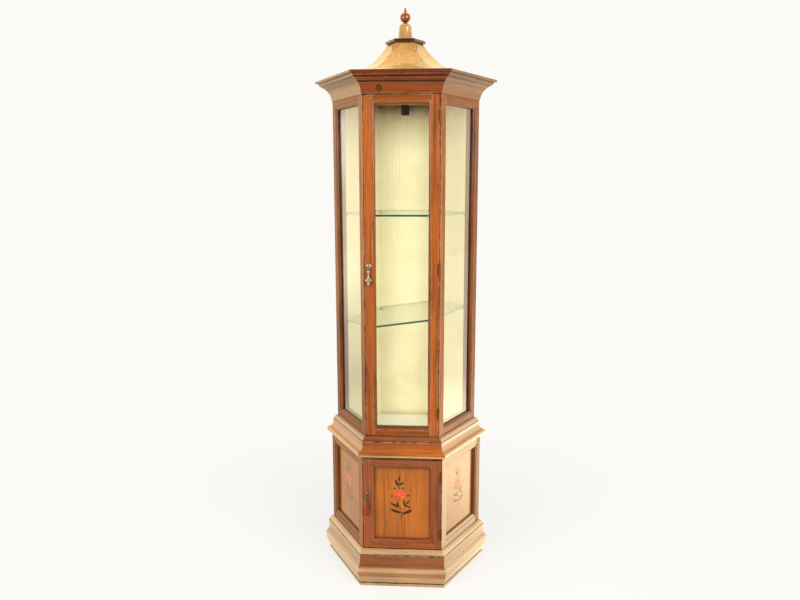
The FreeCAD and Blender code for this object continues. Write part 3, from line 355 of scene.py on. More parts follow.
def lacquered_wood(kind, tint, upright, wear=0.6, contrast=1.0, coat=1.0, rough=0.4, bands=(), paled=None):
    """Stained beech under shellac: streaks of grain in three browns, wider patches where the stain took
    unevenly, rubbed pale edges, painted shade that darkens the corners, and a clear coat that mirrors pale
    surroundings at a low angle. Bands are pairs of a height and a share of the stain: the stain changes up a
    moulding, paler at the plinth's foot and top, with painted shade lines in its quirks and a painted shadow
    under the plinth's nose. The last argument is how far the faces that look left, and those that look right,
    are mixed toward pale wood: painted side light."""
    sizes, colours = bpy.context.scene.cabinet_sizes, bpy.context.scene.cabinet_colours
    patch, rub_mark, figure_share = 160 * MM, 20 * MM, 0.35
    along, across = 1 / sizes.grain_length, 1 / sizes.grain_width
    scale = (across, across, along) if upright else (along, along, across)
    figure_scale = tuple(part * figure_share for part in scale)
    node, place = new_material(BEECH + kind)
    streaks = node("Mapping", {"Vector": place, "Scale": scale})
    fibre = node("TexNoise", {
        "Vector": streaks, "Scale": 1.0, "Detail": 7.0, "Roughness": 0.62, "Distortion": 0.5,
    })
    swirls = node("Mapping", {"Vector": place, "Scale": figure_scale})
    figure = node("TexNoise", {"Vector": swirls, "Scale": 1.0, "Detail": 3.0, "Distortion": 0.8})
    grain = node("Math", (fibre, figure), operation="ADD")
    grain = node("Math", (grain, 0.5), operation="MULTIPLY")
    dark, light = shaded(tint, 1 - 0.62 * contrast), shaded(tint, 1 + 0.38 * contrast)
    stained = node("ValToRGB", (grain,), stops=((0.36, dark), (0.5, tint), (0.66, light)))
    patches = node("TexNoise", {"Vector": place, "Scale": 1 / patch, "Detail": 2.0})
    uneven = node("MapRange", (patches, 0.3, 0.7, 0.82, 1.14))
    stained = node("Mix", {0: 1.0, 6: stained, 7: uneven}, 2, data_type="RGBA", blend_type="MULTIPLY")
    # Painted shade: the darkest bands are shade lines in the quirks and the shadow under the plinth's nose
    if bands:
        low, high = bands[0][0], bands[-1][0]
        climb = node("MapRange", (node("SeparateXYZ", (place,), "Z"), low, high))
        tones = [((height - low) / (high - low), linear(share)) for height, share in bands]
        tone = node("ValToRGB", (climb,), stops=tones)
        stained = node("Mix", {0: 1.0, 6: stained, 7: tone}, 2, data_type="RGBA", blend_type="MULTIPLY")
    facing = node("NewGeometry", out="Normal")
    # Painted side light: faces that look left or right are mixed toward pale wood
    if paled:
        aside = node("SeparateXYZ", (facing,), "X")
        left, right = (
            node("MapRange", (aside, sign * 0.3, sign * 0.7, 0.0, share))
            for sign, share in zip((-1, 1), paled)
        )
        side_light = node("Math", (left, right), operation="ADD")
        stained = node("Mix", {0: side_light, 6: stained, 7: colours.wear_and_side_light}, 2, data_type="RGBA")
    rounded = node("Bevel", {"Radius": sizes.worn_edge}, samples=6)
    bent = node("VectorMath", (rounded, facing), "Value", operation="DOT_PRODUCT")
    edge = node("MapRange", (bent, 0.995, 0.86, 0.0, wear))
    rubs = node("TexNoise", {"Vector": place, "Scale": 1 / rub_mark, "Detail": 5.0, "Roughness": 0.7})
    rubbed = node("Math", (edge, node("MapRange", (rubs, 0.36, 0.62))), operation="MULTIPLY")
    worn = node("Mix", {0: rubbed, 6: stained, 7: colours.wear_and_side_light}, 2, data_type="RGBA")
    # Painted shade: the corners and recesses that the occlusion finds are darkened toward the corner shade
    # colour
    corner = node("AmbientOcclusion", {"Distance": sizes.recess}, "AO", samples=6, only_local=bool(bands))
    hidden = node("MapRange", (corner, 0.35, 0.94, 0.95, 0.0))
    corner_shaded = node("Mix", {0: hidden, 6: worn, 7: colours.corner_shade}, 2, data_type="RGBA")
    eased = node("Bevel", {"Radius": sizes.eased_edge}, samples=6)
    bump = node("Bump", {"Strength": 0.18, "Distance": 0.4 * MM, "Height": fibre, "Normal": eased})
    blur = node("MapRange", (rubs, 0.3, 0.7, rough - 0.08, rough + 0.12))
    lacquer = node("BsdfPrincipled", {
        "Base Color": corner_shaded, "Roughness": blur, "IOR": 1.5, "Specular IOR Level": 0.2, "Coat Weight": coat,
        "Coat Roughness": 0.12, "Coat IOR": 1.52, "Normal": bump, "Coat Normal": bump,
    })
    node("OutputMaterial", {"Surface": lacquer})


def plain_wood(name, tint):
    """Bare poplar boards, planed and never lacquered: dull, with long upright grain and dusty patches."""
    sizes = bpy.context.scene.cabinet_sizes
    dust_size = 200 * MM
    across, along = 0.5 / sizes.grain_width, 0.5 / sizes.grain_length
    node, place = new_material(name)
    streaks = node("Mapping", {"Vector": place, "Scale": (across, across, along)})
    fibre = node("TexNoise", {
        "Vector": streaks, "Scale": 1.0, "Detail": 6.0, "Roughness": 0.6, "Distortion": 0.4,
    })
    grain = node("ValToRGB", (fibre,), stops=((0.3, shaded(tint, 0.6)), (0.7, shaded(tint, 1.3))))
    dust = node("TexNoise", {"Vector": place, "Scale": 1 / dust_size, "Detail": 4.0})
    uneven = node("MapRange", (dust, 0.3, 0.7, 0.8, 1.15))
    stained = node("Mix", {0: 1.0, 6: grain, 7: uneven}, 2, data_type="RGBA", blend_type="MULTIPLY")
    bump = node("Bump", {"Strength": 0.25, "Distance": 0.5 * MM, "Height": fibre})
    board = node("BsdfPrincipled", {"Base Color": stained, "Roughness": 0.75, "IOR": 1.5, "Normal": bump})
    node("OutputMaterial", {"Surface": board})


def painted_board(name, tint):
    """Cream household paint on board: nearly even, a little dusty, with brush marks that catch the light."""
    brush_run, brush_mark, dust_size = 90 * MM, 4 * MM, 50 * MM
    node, place = new_material(name)
    strokes = node("Mapping", {
        "Vector": place, "Scale": (1 / brush_run, 1 / brush_mark, 1 / brush_run),
    })
    marks = node("TexNoise", {"Vector": strokes, "Scale": 1.0, "Detail": 4.0})
    dust = node("TexNoise", {"Vector": place, "Scale": 1 / dust_size, "Detail": 5.0})
    tone = node("ValToRGB", (dust,), stops=((0.3, shaded(tint, 0.95)), (0.6, tint)))
    bump = node("Bump", {"Strength": 0.2, "Distance": 0.3 * MM, "Height": marks})
    paint = node("BsdfPrincipled", {"Base Color": tone, "Roughness": 0.55, "IOR": 1.5, "Normal": bump})
    node("OutputMaterial", {"Surface": paint})


def lining_cloth(name):
    """Cotton rep, woven and pleated: matt pale yellow, a fine cross of threads, faded in patches, darker and
    browner along its top edge, and stained in a few clouds."""
    sizes, colours = bpy.context.scene.cabinet_sizes, bpy.context.scene.cabinet_colours
    fade_size, blotch_size, cloud_size, top_mark_depth = 250 * MM, 30 * MM, 140 * MM, 60 * MM
    pitch = 1 / sizes.thread_gap
    node, place = new_material(name)
    weave = node("Mapping", {
        "Vector": node("UVMap", uv_map="cloth"), "Scale": (pitch, pitch, pitch),
    })
    warp, weft = (
        node("TexWave", {"Vector": weave, "Scale": 0.5, "Distortion": 0.6}, "Fac", bands_direction=way)
        for way in ("X", "Y")
    )
    cross = node("Math", (warp, weft), operation="ADD")
    fade = node("TexNoise", {"Vector": place, "Scale": 1 / fade_size, "Detail": 3.0})
    tone = node("ValToRGB", (fade,), stops=((0.3, shaded(colours.cloth, 0.93)), (0.65, colours.cloth)))
    thread = node("MapRange", (cross, 0.0, 2.0, 0.95, 1.02))
    woven = node("Mix", {0: 1.0, 6: tone, 7: thread}, 2, data_type="RGBA", blend_type="MULTIPLY")
    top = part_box("lining_back")[1].z
    # The lining is darker and browner in blotches along its top edge
    near_top = node("MapRange", (node("SeparateXYZ", (place,), "Z"), top - top_mark_depth, top))
    blotches = node("TexNoise", {"Vector": place, "Scale": 1 / blotch_size, "Detail": 5.0})
    blotch = node("MapRange", (blotches, 0.35, 0.7, 0.2, 0.9))
    top_mark = node("Math", (near_top, blotch), operation="MULTIPLY")
    clouds = node("TexNoise", {
        "Vector": place, "Scale": 1 / cloud_size, "Detail": 4.0, "Distortion": 0.6,
    })
    for stain in (top_mark, node("MapRange", (clouds, 0.5, 0.75, 0.0, 0.16))):
        woven = node("Mix", {0: stain, 6: woven, 7: colours.stain}, 2, data_type="RGBA")
    bump = node("Bump", {"Strength": 0.2, "Distance": 0.2 * MM, "Height": cross})
    cloth = node("BsdfPrincipled", {
        "Base Color": woven, "Roughness": 0.9, "Sheen Weight": 0.2, "Sheen Roughness": 0.5,
        "Specular IOR Level": 0.2, "Normal": bump,
    })
    node("OutputMaterial", {"Surface": cloth})


def pane_glass(name, tint, mirror_gain, edge=None):
    """Float glass: clear with a faint tint, and a mirror that grows towards a low angle. The gain multiplies
    the mirror of one face, for a pane's second face and its haze of dust. An edge colour shows on a plate's
    front rim, as plate glass is dark green there, and faintly on its other rims."""
    wave_size = 60 * MM
    node, place = new_material(name)
    waves = node("TexNoise", {"Vector": place, "Scale": 1 / wave_size, "Detail": 1.0})
    bump = node("Bump", {"Strength": 0.02, "Distance": 0.3 * MM, "Height": waves})
    clear = node("BsdfTransparent", {"Color": tint})
    face = node("NewGeometry").node.outputs
    entering = node("Math", (1.0, face["Backfacing"]), operation="SUBTRACT")
    if edge:
        facing = node("SeparateXYZ", (face["Normal"],)).node.outputs
        level = node("Math", (facing["Z"],), operation="ABSOLUTE")
        rim = node("Math", (level, 0.7), operation="LESS_THAN")
        front = node("MapRange", (facing["Y"], -0.6, -0.9, 0.25, 1.0))
        dark = node("Math", (front, entering), operation="MULTIPLY")
        green = node("BsdfPrincipled", {"Base Color": edge, "Roughness": 0.15})
        cut = node("MixShader", (dark, clear, green))
        clear = node("MixShader", (rim, clear, cut))
    mirror = node("BsdfGlossy", {"Color": (0.79, 0.85, 1.0, 1.0), "Roughness": 0.02, "Normal": bump})
    share = node("Math", (node("Fresnel", {"IOR": 1.45}), entering), operation="MULTIPLY")
    share = node("Math", (share, mirror_gain), operation="MULTIPLY", use_clamp=True)
    node("OutputMaterial", {"Surface": node("MixShader", (share, clear, mirror))})


def aged_metal(name, tint, rough, tarnish):
    """Cast or drawn metal with age on it: a metal mirror blurred by handling, with dark tarnish in patches
    and in the corners, and fine pits."""
    spot_size, corner_reach = 6 * MM, 4 * MM
    node, place = new_material(name)
    spots = node("TexNoise", {"Vector": place, "Scale": 1 / spot_size, "Detail": 6.0, "Roughness": 0.65})
    corner = node("AmbientOcclusion", {"Distance": corner_reach}, "AO", samples=6)
    hidden = node("MapRange", (corner, 0.3, 0.9, 0.6, 0.0))
    stain = node("MapRange", (spots, 0.42, 0.68, 0.0, tarnish))
    age = node("Math", (hidden, stain), operation="MAXIMUM")
    tone = node("Mix", {0: age, 6: tint, 7: shaded(tint, 0.16)}, 2, data_type="RGBA")
    blur = node("MapRange", (spots, 0.3, 0.7, rough, rough + 0.2))
    bump = node("Bump", {"Strength": 0.15, "Distance": 0.15 * MM, "Height": spots})
    metal = node("BsdfPrincipled", {"Base Color": tone, "Metallic": 0.9, "Roughness": blur, "Normal": bump})
    node("OutputMaterial", {"Surface": metal})


def moulded_plastic(name, tint):
    """Black phenolic resin, pressed in a mould: a low sheen with a dusty bloom."""
    dust_size = 8 * MM
    node, place = new_material(name)
    dust = node("TexNoise", {"Vector": place, "Scale": 1 / dust_size, "Detail": 5.0})
    tone = node("ValToRGB", (dust,), stops=((0.4, tint), (0.8, shaded(tint, 3.0))))
    bump = node("Bump", {"Strength": 0.1, "Distance": 0.1 * MM, "Height": dust})
    resin = node("BsdfPrincipled", {"Base Color": tone, "Roughness": 0.42, "IOR": 1.55, "Normal": bump})
    node("OutputMaterial", {"Surface": resin})


def twisted_silk(name, tint):
    """Silk thread, spun and wound: a soft sheen along the strands, darker between them. The strands are drawn
    coarser than real ones, so that they show."""
    strand_width, strand_run = 1.2 * MM, 12 * MM
    node, place = new_material(name)
    strands = node("Mapping", {
        "Vector": place, "Scale": (1 / strand_width, 1 / strand_width, 1 / strand_run),
    })
    twist = node("TexNoise", {"Vector": strands, "Scale": 1.0, "Detail": 3.0})
    tone = node("ValToRGB", (twist,), stops=((0.3, shaded(tint, 0.45)), (0.65, shaded(tint, 1.2))))
    bump = node("Bump", {"Strength": 0.3, "Distance": 0.2 * MM, "Height": twist})
    silk = node("BsdfPrincipled", {
        "Base Color": tone, "Roughness": 0.55, "Sheen Weight": 0.4, "Sheen Roughness": 0.35, "Normal": bump,
    })
    node("OutputMaterial", {"Surface": silk})


def brush_paint(name):
    """Artist's oil paint under old varnish: each stroke has its own colour, thinner and darker in streaks."""
    streak_width = 4 * MM
    node, place = new_material(name)
    paint = node("Attribute", out="Color", attribute_name="paint")
    streaks = node("TexNoise", {"Vector": place, "Scale": 1 / streak_width, "Detail": 5.0})
    tone = node("MapRange", (streaks, 0.3, 0.7, 0.62, 1.25))
    mixed = node("Mix", {0: 1.0, 6: paint, 7: tone}, 2, data_type="RGBA", blend_type="MULTIPLY")
    bump = node("Bump", {"Strength": 0.2, "Distance": 0.2 * MM, "Height": streaks})
    varnished = node("BsdfPrincipled", {
        "Base Color": mixed, "Roughness": 0.4, "IOR": 1.5, "Coat Weight": 0.3, "Coat Roughness": 0.12,
        "Specular IOR Level": 0.2, "Normal": bump,
    })
    node("OutputMaterial", {"Surface": varnished})


def finish(name):
    """A material made earlier, by its name."""
    return bpy.data.materials[name]


# The stain up each moulding, with painted shade lines in its quirks and a painted shadow under the plinth's
# nose: mm above its foot, and the share of the stain as a colour
FULL, PALE, NOSE_SHADOW, RED, QUIRK_SHADE = "#FFFFFF", "#F6ECE0", "#DEBC96", "#C08C60", "#5E4030"
TONES = {
    "plinth": (
        (-1, PALE), (0, QUIRK_SHADE), (4, QUIRK_SHADE), (6, FULL), (24, FULL), (32, NOSE_SHADOW), (44, NOSE_SHADOW), (47, FULL),
        (58, FULL), (63, RED), (98, RED), (102, QUIRK_SHADE), (104, QUIRK_SHADE), (106, FULL), (119, PALE),
    ),
    "waist": (
        (0, QUIRK_SHADE), (8, QUIRK_SHADE), (10, FULL), (14, FULL), (18, "#D69E55"), (26, "#D69E55"), (44, "#BE8446"),
        (54, "#B07840"), (55, QUIRK_SHADE), (58, QUIRK_SHADE), (60, "#B88050"), (71, "#A87448"),
    ),
    "cornice": (
        (-80, FULL), (0, FULL), (32, FULL), (34, QUIRK_SHADE), (36, QUIRK_SHADE), (38, FULL), (45, FULL), (47, QUIRK_SHADE),
        (49, QUIRK_SHADE), (51, FULL), (58, "#C8A898"),
    ),
}

BEECH = "stained beech, "
BY_SLOT = {
    "frame_wood": BEECH + "upright", "moulding_wood": BEECH + "worn", "panel_wood": BEECH + "golden",
    "bead_wood": BEECH + "beads", "roof_wood": BEECH + "roof", "cap_wood": BEECH + "cap",
    "bell_wood": BEECH + "bell", "finial_wood": BEECH + "finial", "back_wood": "poplar boards",
    "pane_glass": "float glass", "shelf_glass": "plate glass", "lining_fabric": "cotton rep, pale yellow",
    "floor_paint": "cream paint", "aged_brass": "brass, aged", "hinge_brass": "brass, dull",
    "lock_steel": "steel, worn", "black_plastic": "phenolic resin", "tassel_silk": "silk thread",
}


def finish_of(name, slot):
    """The name of a frame piece's finish: its slot's own, apart from rails, rear posts, the two parts of the
    cupboard, the door darker and the rest with painted side light, and the two mouldings with a stain of
    their own."""
    chosen = BY_SLOT[slot]
    if name.endswith("_rails"):
        chosen = BEECH + "level"
    if name.endswith("_rear_posts"):
        chosen = BEECH + "rear posts"
    if chosen in (BEECH + "level", BEECH + "upright"):
        for start, word in (("lower_door", "dark "), ("cupboard", "bleached ")):
            if name.startswith(start):
                chosen = chosen.replace(BEECH, BEECH + word)
    for moulding in ("cornice", "waist"):
        if name.startswith(moulding):
            chosen = BEECH + moulding
    return chosen


class CABINET_OT_finishes(bpy.types.Operator):
    """Makes the finishes and gives each piece of the frame its own"""

    bl_idname = "cabinet.finishes"
    bl_label = "Finishes"

    def execute(self, context):
        tints = context.scene.cabinet_colours
        bands = {}
        for name, tones in TONES.items():
            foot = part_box(name + "_mouldings")[0].z
            bands[name] = [(foot + height * MM, share) for height, share in tones]
        # The board under the plinth has the same finish, down to the floor
        bands["plinth"].insert(0, (0.0, PALE))
        frame_wood, rail_wood = tints.frame_wood, shaded(tints.frame_wood, 0.7)
        rear_wood = shaded(tints.frame_wood, 0.72)
        # How far the cupboard's faces that look left, and those that look right, take painted side light
        side_lit = (0.06, 0.6)
        lacquered_wood("upright", frame_wood, True, contrast=1.25, coat=0.3)
        lacquered_wood("level", rail_wood, False, coat=0.3)
        lacquered_wood("rear posts", rear_wood, True, contrast=1.25, coat=0.3)
        lacquered_wood("bleached upright", frame_wood, True, contrast=1.25, coat=0.3, paled=side_lit)
        lacquered_wood("bleached level", rail_wood, False, coat=0.3, paled=side_lit)
        lacquered_wood("dark upright", tints.door_wood, True, wear=0.35)
        lacquered_wood("dark level", tints.door_wood, False, wear=0.35)
        # The mouldings and panels also take painted side light on the faces that look left and right
        lacquered_wood(
            "cornice", tints.cornice_wood, False, wear=0.25, contrast=0.9, coat=0.5, bands=bands["cornice"],
            paled=(0.2, 0.1),
        )
        lacquered_wood(
            "waist", tints.waist_wood, False, wear=0.9, contrast=0.7, bands=bands["waist"],
            paled=(0.34, 0.48),
        )
        lacquered_wood(
            "worn", tints.plinth_wood, False, wear=1.0, contrast=0.55, bands=bands["plinth"],
            paled=(0.35, 0.42),
        )
        lacquered_wood("golden", tints.panel_wood, True, wear=0.3, contrast=0.6, paled=(0.0, 0.12))
        lacquered_wood("beads", tints.bead_wood, True)
        lacquered_wood("roof", tints.roof_wood, True, wear=0.5, contrast=0.6, coat=0.75)
        lacquered_wood("cap", tints.cap_wood, False, wear=0.3, contrast=0.6)
        lacquered_wood("bell", tints.bell_wood, True, wear=0.0, contrast=0.5, rough=0.25)
        lacquered_wood("finial", tints.finial_wood, True, wear=0.0, contrast=0.5, rough=0.2)
        plain_wood("poplar boards", tints.back_wood)
        painted_board("cream paint", tints.floor_paint)
        lining_cloth("cotton rep, pale yellow")
        pane_glass("float glass", tints.pane, 2.5)
        pane_glass("plate glass", tints.pane, 0.15, tints.shelf_edge)
        aged_metal("brass, aged", tints.brass, 0.28, 0.45)
        aged_metal("brass, dull", tints.hinge, 0.42, 0.6)
        aged_metal("steel, worn", tints.steel, 0.32, 0.5)
        moulded_plastic("phenolic resin", tints.plastic)
        twisted_silk("silk thread", tints.silk)
        brush_paint("oil paint, varnished")
        for part in frame["record"]["subparts"]:
            materials = nodes[part["node"]].data.materials
            materials.clear()
            materials.append(finish(finish_of(part["node"], part["material_slot"])))
        return {"FINISHED"}


class CABINET_OT_linings(bpy.types.Operator):
    """Hangs the pleated cloth on the three back faces"""

    bl_idname = "cabinet.linings"
    bl_label = "Linings"

    def execute(self, context):
        sizes = context.scene.cabinet_sizes
        low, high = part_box("lining_back")
        half = low.y * math.tan(SIXTH / 2)
        ribs = round(2 * half / sizes.rib_pitch)
        steps_per_rib, levels = 12, 41
        along = np.linspace(-half, half, ribs * steps_per_rib + 1)[None, :]
        level = np.linspace(low.z, high.z, levels)[:, None]
        # A pleat stands out by depth * crisp * (1 - abs(sin(pi * number))). Its number wanders by a small
        # share, and it is crisp at the top and slack at the bottom.
        sway = 0.06 * np.sin(level * 9.0 + 2.0 * np.sin(along * 40)) + 0.03 * np.sin(level * 23 + along * 70)
        crest = abs(np.sin(math.pi * (along / (2 * half) * ribs + sway)))
        crisp = 0.35 + 0.65 * (level - low.z) / (high.z - low.z)
        depth = low.y + sizes.rib_depth * crisp * (1 - crest)
        sheet = np.stack(np.broadcast_arrays(along, depth, level), -1)
        step = np.hypot(np.diff(along[0]), np.diff(depth[levels // 2]))
        unrolled = np.concatenate([[0], np.cumsum(step)])
        chart = np.stack(np.broadcast_arrays(unrolled[None, :], level), -1)
        for name, turn in (("lining_back", 0), ("lining_back_left", 1), ("lining_back_right", -1)):
            cloth = add_piece(
                name + "_cloth", [about_z(sheet, turn * SIXTH)], finish("cotton rep, pale yellow"), "cabinet",
                [name], maps=[chart], closed=False,
            )
            wall = cloth.modifiers.new("Thickness", "SOLIDIFY")
            wall.thickness = sizes.cloth_thickness
            wall.offset = -1.0
        return {"FINISHED"}


class CABINET_OT_turnings(bpy.types.Operator):
    """Turns the bell and the finial on the roof"""

    bl_idname = "cabinet.turnings"
    bl_label = "Bell and finial"

    def execute(self, context):
        low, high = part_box("bell")
        r, h = high.x, high.z - low.z
        bell = outline([
            (0, 0, 0), (r, 0, 0), (r, 0.055 * h, 0), (0.81 * r, 0.29 * h, -0.07), (0.724 * r, 0.727 * h, 0),
            (0.293 * r, h, QUARTER), (0, h, 0),
        ])
        add_piece(
            "bell_turned", [turned(bell, (0, 0, low.z), (0, 0, 1), 72)], finish(BEECH + "bell"), "cabinet",
            ["bell"],
        )
        low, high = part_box("finial")
        r, h = high.x, high.z - low.z
        finial = outline([
            (0, 0, 0), (0.429 * r, 0, 0), (0.343 * r, 0.071 * h, -0.16), (r, 0.398 * h, 0.19),
            (0.657 * r, 0.633 * h, 0.14), (0.194 * r, 0.931 * h, -0.16), (0, h, QUARTER),
        ], 14)
        add_piece(
            "finial_turned", [turned(finial, (0, 0, low.z), (0, 0, 1), 72)], finish(BEECH + "finial"),
            "cabinet", ["finial"],
        )
        return {"FINISHED"}


class CABINET_OT_pull(bpy.types.Operator):
    """Turns the rosette and the swinging drop of the upper door's pull"""

    bl_idname = "cabinet.pull"
    bl_label = "Drop pull"

    def execute(self, context):
        pin_stand, pin_radius, cheek_radius = 13 * MM, 1.1 * MM, 4.0 * MM
        link_inside, link_outside, link_half, link_length = 2.9 * MM, 3.8 * MM, 2 * MM, 15 * MM
        low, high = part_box("pull_rosette")
        seat = Vector(((low.x + high.x) / 2, high.y, (low.z + high.z) / 2))
        pivot = seat - Vector((0, pin_stand, 0))
        brass = finish("brass, aged")
        rosette = MM * outline([
            (0, 0, 0), (8, 0, 0), (8, 1, 0), (6.9, 1.7, 0.2), (2.6, 2.9, 0.1), (2.6, 10.4, 0), (2.6, 12.4, 0),
            (0, 15.4, QUARTER),
        ])
        add_piece(
            "pull_rosette_cast", [turned(rosette, seat, (0, -1, 0))], brass, "upper_door",
            ["pull_rosette"],
        )
        drop = MM * outline([
            (0, -60, 0), (4.4, -55.6, QUARTER), (3, -50, 0.14), (10.4, -45.6, -0.05), (11.2, -44, 0.3),
            (10.6, -42.8, 0.2), (1.9, -25, -0.09), (1.9, -19.6, 0), (4.6, -15, QUARTER), (0, -10.4, QUARTER),
        ])
        cheeks, straps = [], []
        for side in (-1, 1):
            inner = pivot + Vector((side * link_inside, 0, 0))
            outer = pivot + Vector((side * link_outside, 0, 0))
            cheeks.append(rod(cheek_radius, inner, outer))
            straps.append(slab(
                (min(inner.x, outer.x), pivot.y - link_half, pivot.z - link_length),
                (max(inner.x, outer.x), pivot.y + link_half, pivot.z),
            ))
        reach = Vector((link_outside, 0, 0))
        pin = rod(pin_radius, pivot - reach, pivot + reach)
        add_piece(
            "pull_drop_cast", [turned(drop, pivot, (0, 0, 1)), *cheeks, *straps, pin], brass, "pull",
            ["pull_drop"],
        )
        return {"FINISHED"}


class CABINET_OT_switch(bpy.types.Operator):
    """Turns the bezel and the lever of the toggle switch in the frieze"""

    bl_idname = "cabinet.switch"
    bl_label = "Toggle switch"

    def execute(self, context):
        low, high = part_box("switch_bezel")
        centre = (low + high) / 2
        mouth = Vector((centre.x, low.y, centre.z))
        tail = high.y - low.y
        brass = finish("brass, dull")
        ball, rest = 3.9, math.radians(14)
        bezel = MM * outline([
            (4, 0, 0), (5.1, 0, 0), (5.5, -0.4, 0), (5.5, -5, 0), (9, -5, 0), (10, -6, QUARTER), (10, -7, 0),
            (5.5, -7, 0), (5.5, -tail / MM, 0), (4, -tail / MM, 0), (4, 0, 0),
        ])
        add_piece(
            "switch_bezel_turned", [turned(bezel, mouth, (0, -1, 0))], brass, "cabinet",
            ["switch_bezel"],
        )
        axis = (0, -math.cos(rest), -math.sin(rest))
        lever = MM * outline([
            (0, -ball, 0), (ball, 0, QUARTER), (1.5, 3.6, 0.14), (2.4, 15, 0), (0, 17.4, QUARTER),
        ])
        add_piece(
            "switch_lever_turned", [turned(lever, mouth + Vector((0, ball * MM, 0)), axis)], brass,
            "switch_lever", ["switch_lever"],
        )
        return {"FINISHED"}


def strand(foot, turn, inward):
    """One thread of the tassel, in mm: a thin round bar whose middle runs from the hem up to the neck along
    out = hem - (hem - neck) * t ** 0.7, with a slow wave to either side."""
    hem, neck, length = 8.0, 2.6, 33
    t = np.linspace(0, 1, 9)[:, None]
    out = (hem - (hem - neck) * t ** 0.7) * inward
    side = 0.35 * np.sin(5 * t + 3 * turn)
    level = length * t + 0.5 * math.sin(7 * turn) * (1 - t)
    around = np.linspace(0, FULL_TURN, 6)[None, :]
    bar = 0.42 * np.sin(math.pi * (t * 0.97 + 0.015)) ** 0.12
    bar[[0, -1]] = 0
    out = out + bar * np.cos(around)
    side = side + bar * np.sin(around)
    x = out * math.cos(turn) - side * math.sin(turn)
    y = out * math.sin(turn) + side * math.cos(turn)
    return np.array(foot) + MM * np.stack(np.broadcast_arrays(x, y, level), -1)


class CABINET_OT_key(bpy.types.Operator):
    """Makes the key with its ring bow, the plate round the keyhole and the silk tassel"""

    bl_idname = "cabinet.key"
    bl_label = "Key and tassel"

    def execute(self, context):
        bow_radius, bow_bar, shaft_radius = 9 * MM, 1.6 * MM, 2.4 * MM
        bit_half, bit_depth = 1.2 * MM, 3 * MM
        low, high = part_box("key_escutcheon")
        keyhole = Vector(((low.x + high.x) / 2, high.y, (low.z + high.z) / 2))
        plate = MM * outline([
            (2.5, 0, 0), (7, 0, 0), (7, 0.4, 0), (6, 1.2, QUARTER), (2.9, 1.2, 0), (2.5, 0.9, 0), (2.5, 0, 0),
        ])
        add_piece(
            "key_escutcheon_turned", [turned(plate, keyhole, (0, -1, 0))], finish("brass, aged"),
            "lower_door", ["key_escutcheon"],
        )
        low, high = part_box("key")
        bow = Vector((keyhole.x, low.y + bow_radius + bow_bar, keyhole.z))
        end = Vector((keyhole.x, high.y, keyhole.z))
        shaft = rod(shaft_radius, bow + Vector((0, bow_radius, 0)), end)
        collar = MM * outline([
            (0, 4.2, 0), (3, 4.2, 0), (3.8, 5, QUARTER), (3.8, 6.4, 0), (3, 7.2, QUARTER), (0, 7.2, 0),
        ])
        bit = slab((keyhole.x - bit_half, end.y - bit_depth, low.z), (keyhole.x + bit_half, end.y, keyhole.z))
        add_piece(
            "key_forged",
            [ring(bow_radius, bow_bar, bow, (1, 0, 0)), shaft, bit, turned(collar, keyhole, (0, -1, 0))],
            finish("steel, worn"), "key", ["key"],
        )
        low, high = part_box("key_tassel")
        foot = Vector((keyhole.x, bow.y, low.z))
        eye = Vector((keyhole.x, bow.y, bow.z - bow_radius))
        loop = ring(2.8 * MM, 0.8 * MM, eye, (0, 1, 0), 32, 12)
        core = MM * outline([
            (0, 2, 0), (6.6, 1, 0), (2.9, 33, 0.05), (4.6, 37, 0.14), (1.2, 41, QUARTER), (1.2, 51, 0),
            (0, 51, 0),
        ])
        binding = [
            ring(3.1 * MM, 0.5 * MM, foot + Vector((0, 0, height * MM)), (0, 0, 1), 32, 8)
            for height in (31.6, 32.6, 33.6)
        ]
        strands = [
            strand(foot, turn, inward) for inward in (1.0, 0.78)
            for turn in np.linspace(0, FULL_TURN, 34, endpoint=False) + inward
        ]
        add_piece(
            "key_tassel_threads", [turned(core, foot, (0, 0, 1)), loop, *binding, *strands],
            finish("silk thread"), "tassel", ["key_tassel"],
        )
        return {"FINISHED"}


class CABINET_OT_lamp_holder(bpy.types.Operator):
    """Turns the lamp holder under the ceiling of the case"""

    bl_idname = "cabinet.lamp_holder"
    bl_label = "Lamp holder"

    def execute(self, context):
        low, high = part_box("lamp_holder")
        holder = MM * outline([
            (0, 28, 0), (7.2, 28, 0), (7.2, 0.6, 0), (7.8, 0, 0), (12.6, 0, 0), (13.5, 0.9, QUARTER),
            (13.5, 12, 0), (12.9, 12.4, 0), (12.9, 13.6, 0), (13.5, 14, 0), (13.5, 26, 0), (12.9, 26.4, 0),
            (12.9, 27.6, 0), (13.5, 28, 0), (13.5, 41, 0), (16.4, 41, 0), (17, 41.6, QUARTER), (17, 46, 0),
            (0, 46, 0),
        ])
        centre = (low + high) / 2
        add_piece(
            "lamp_holder_moulded", [turned(holder, (centre.x, centre.y, low.z), (0, 0, 1))],
            finish("phenolic resin"), "cabinet", ["lamp_holder"],
        )
        return {"FINISHED"}


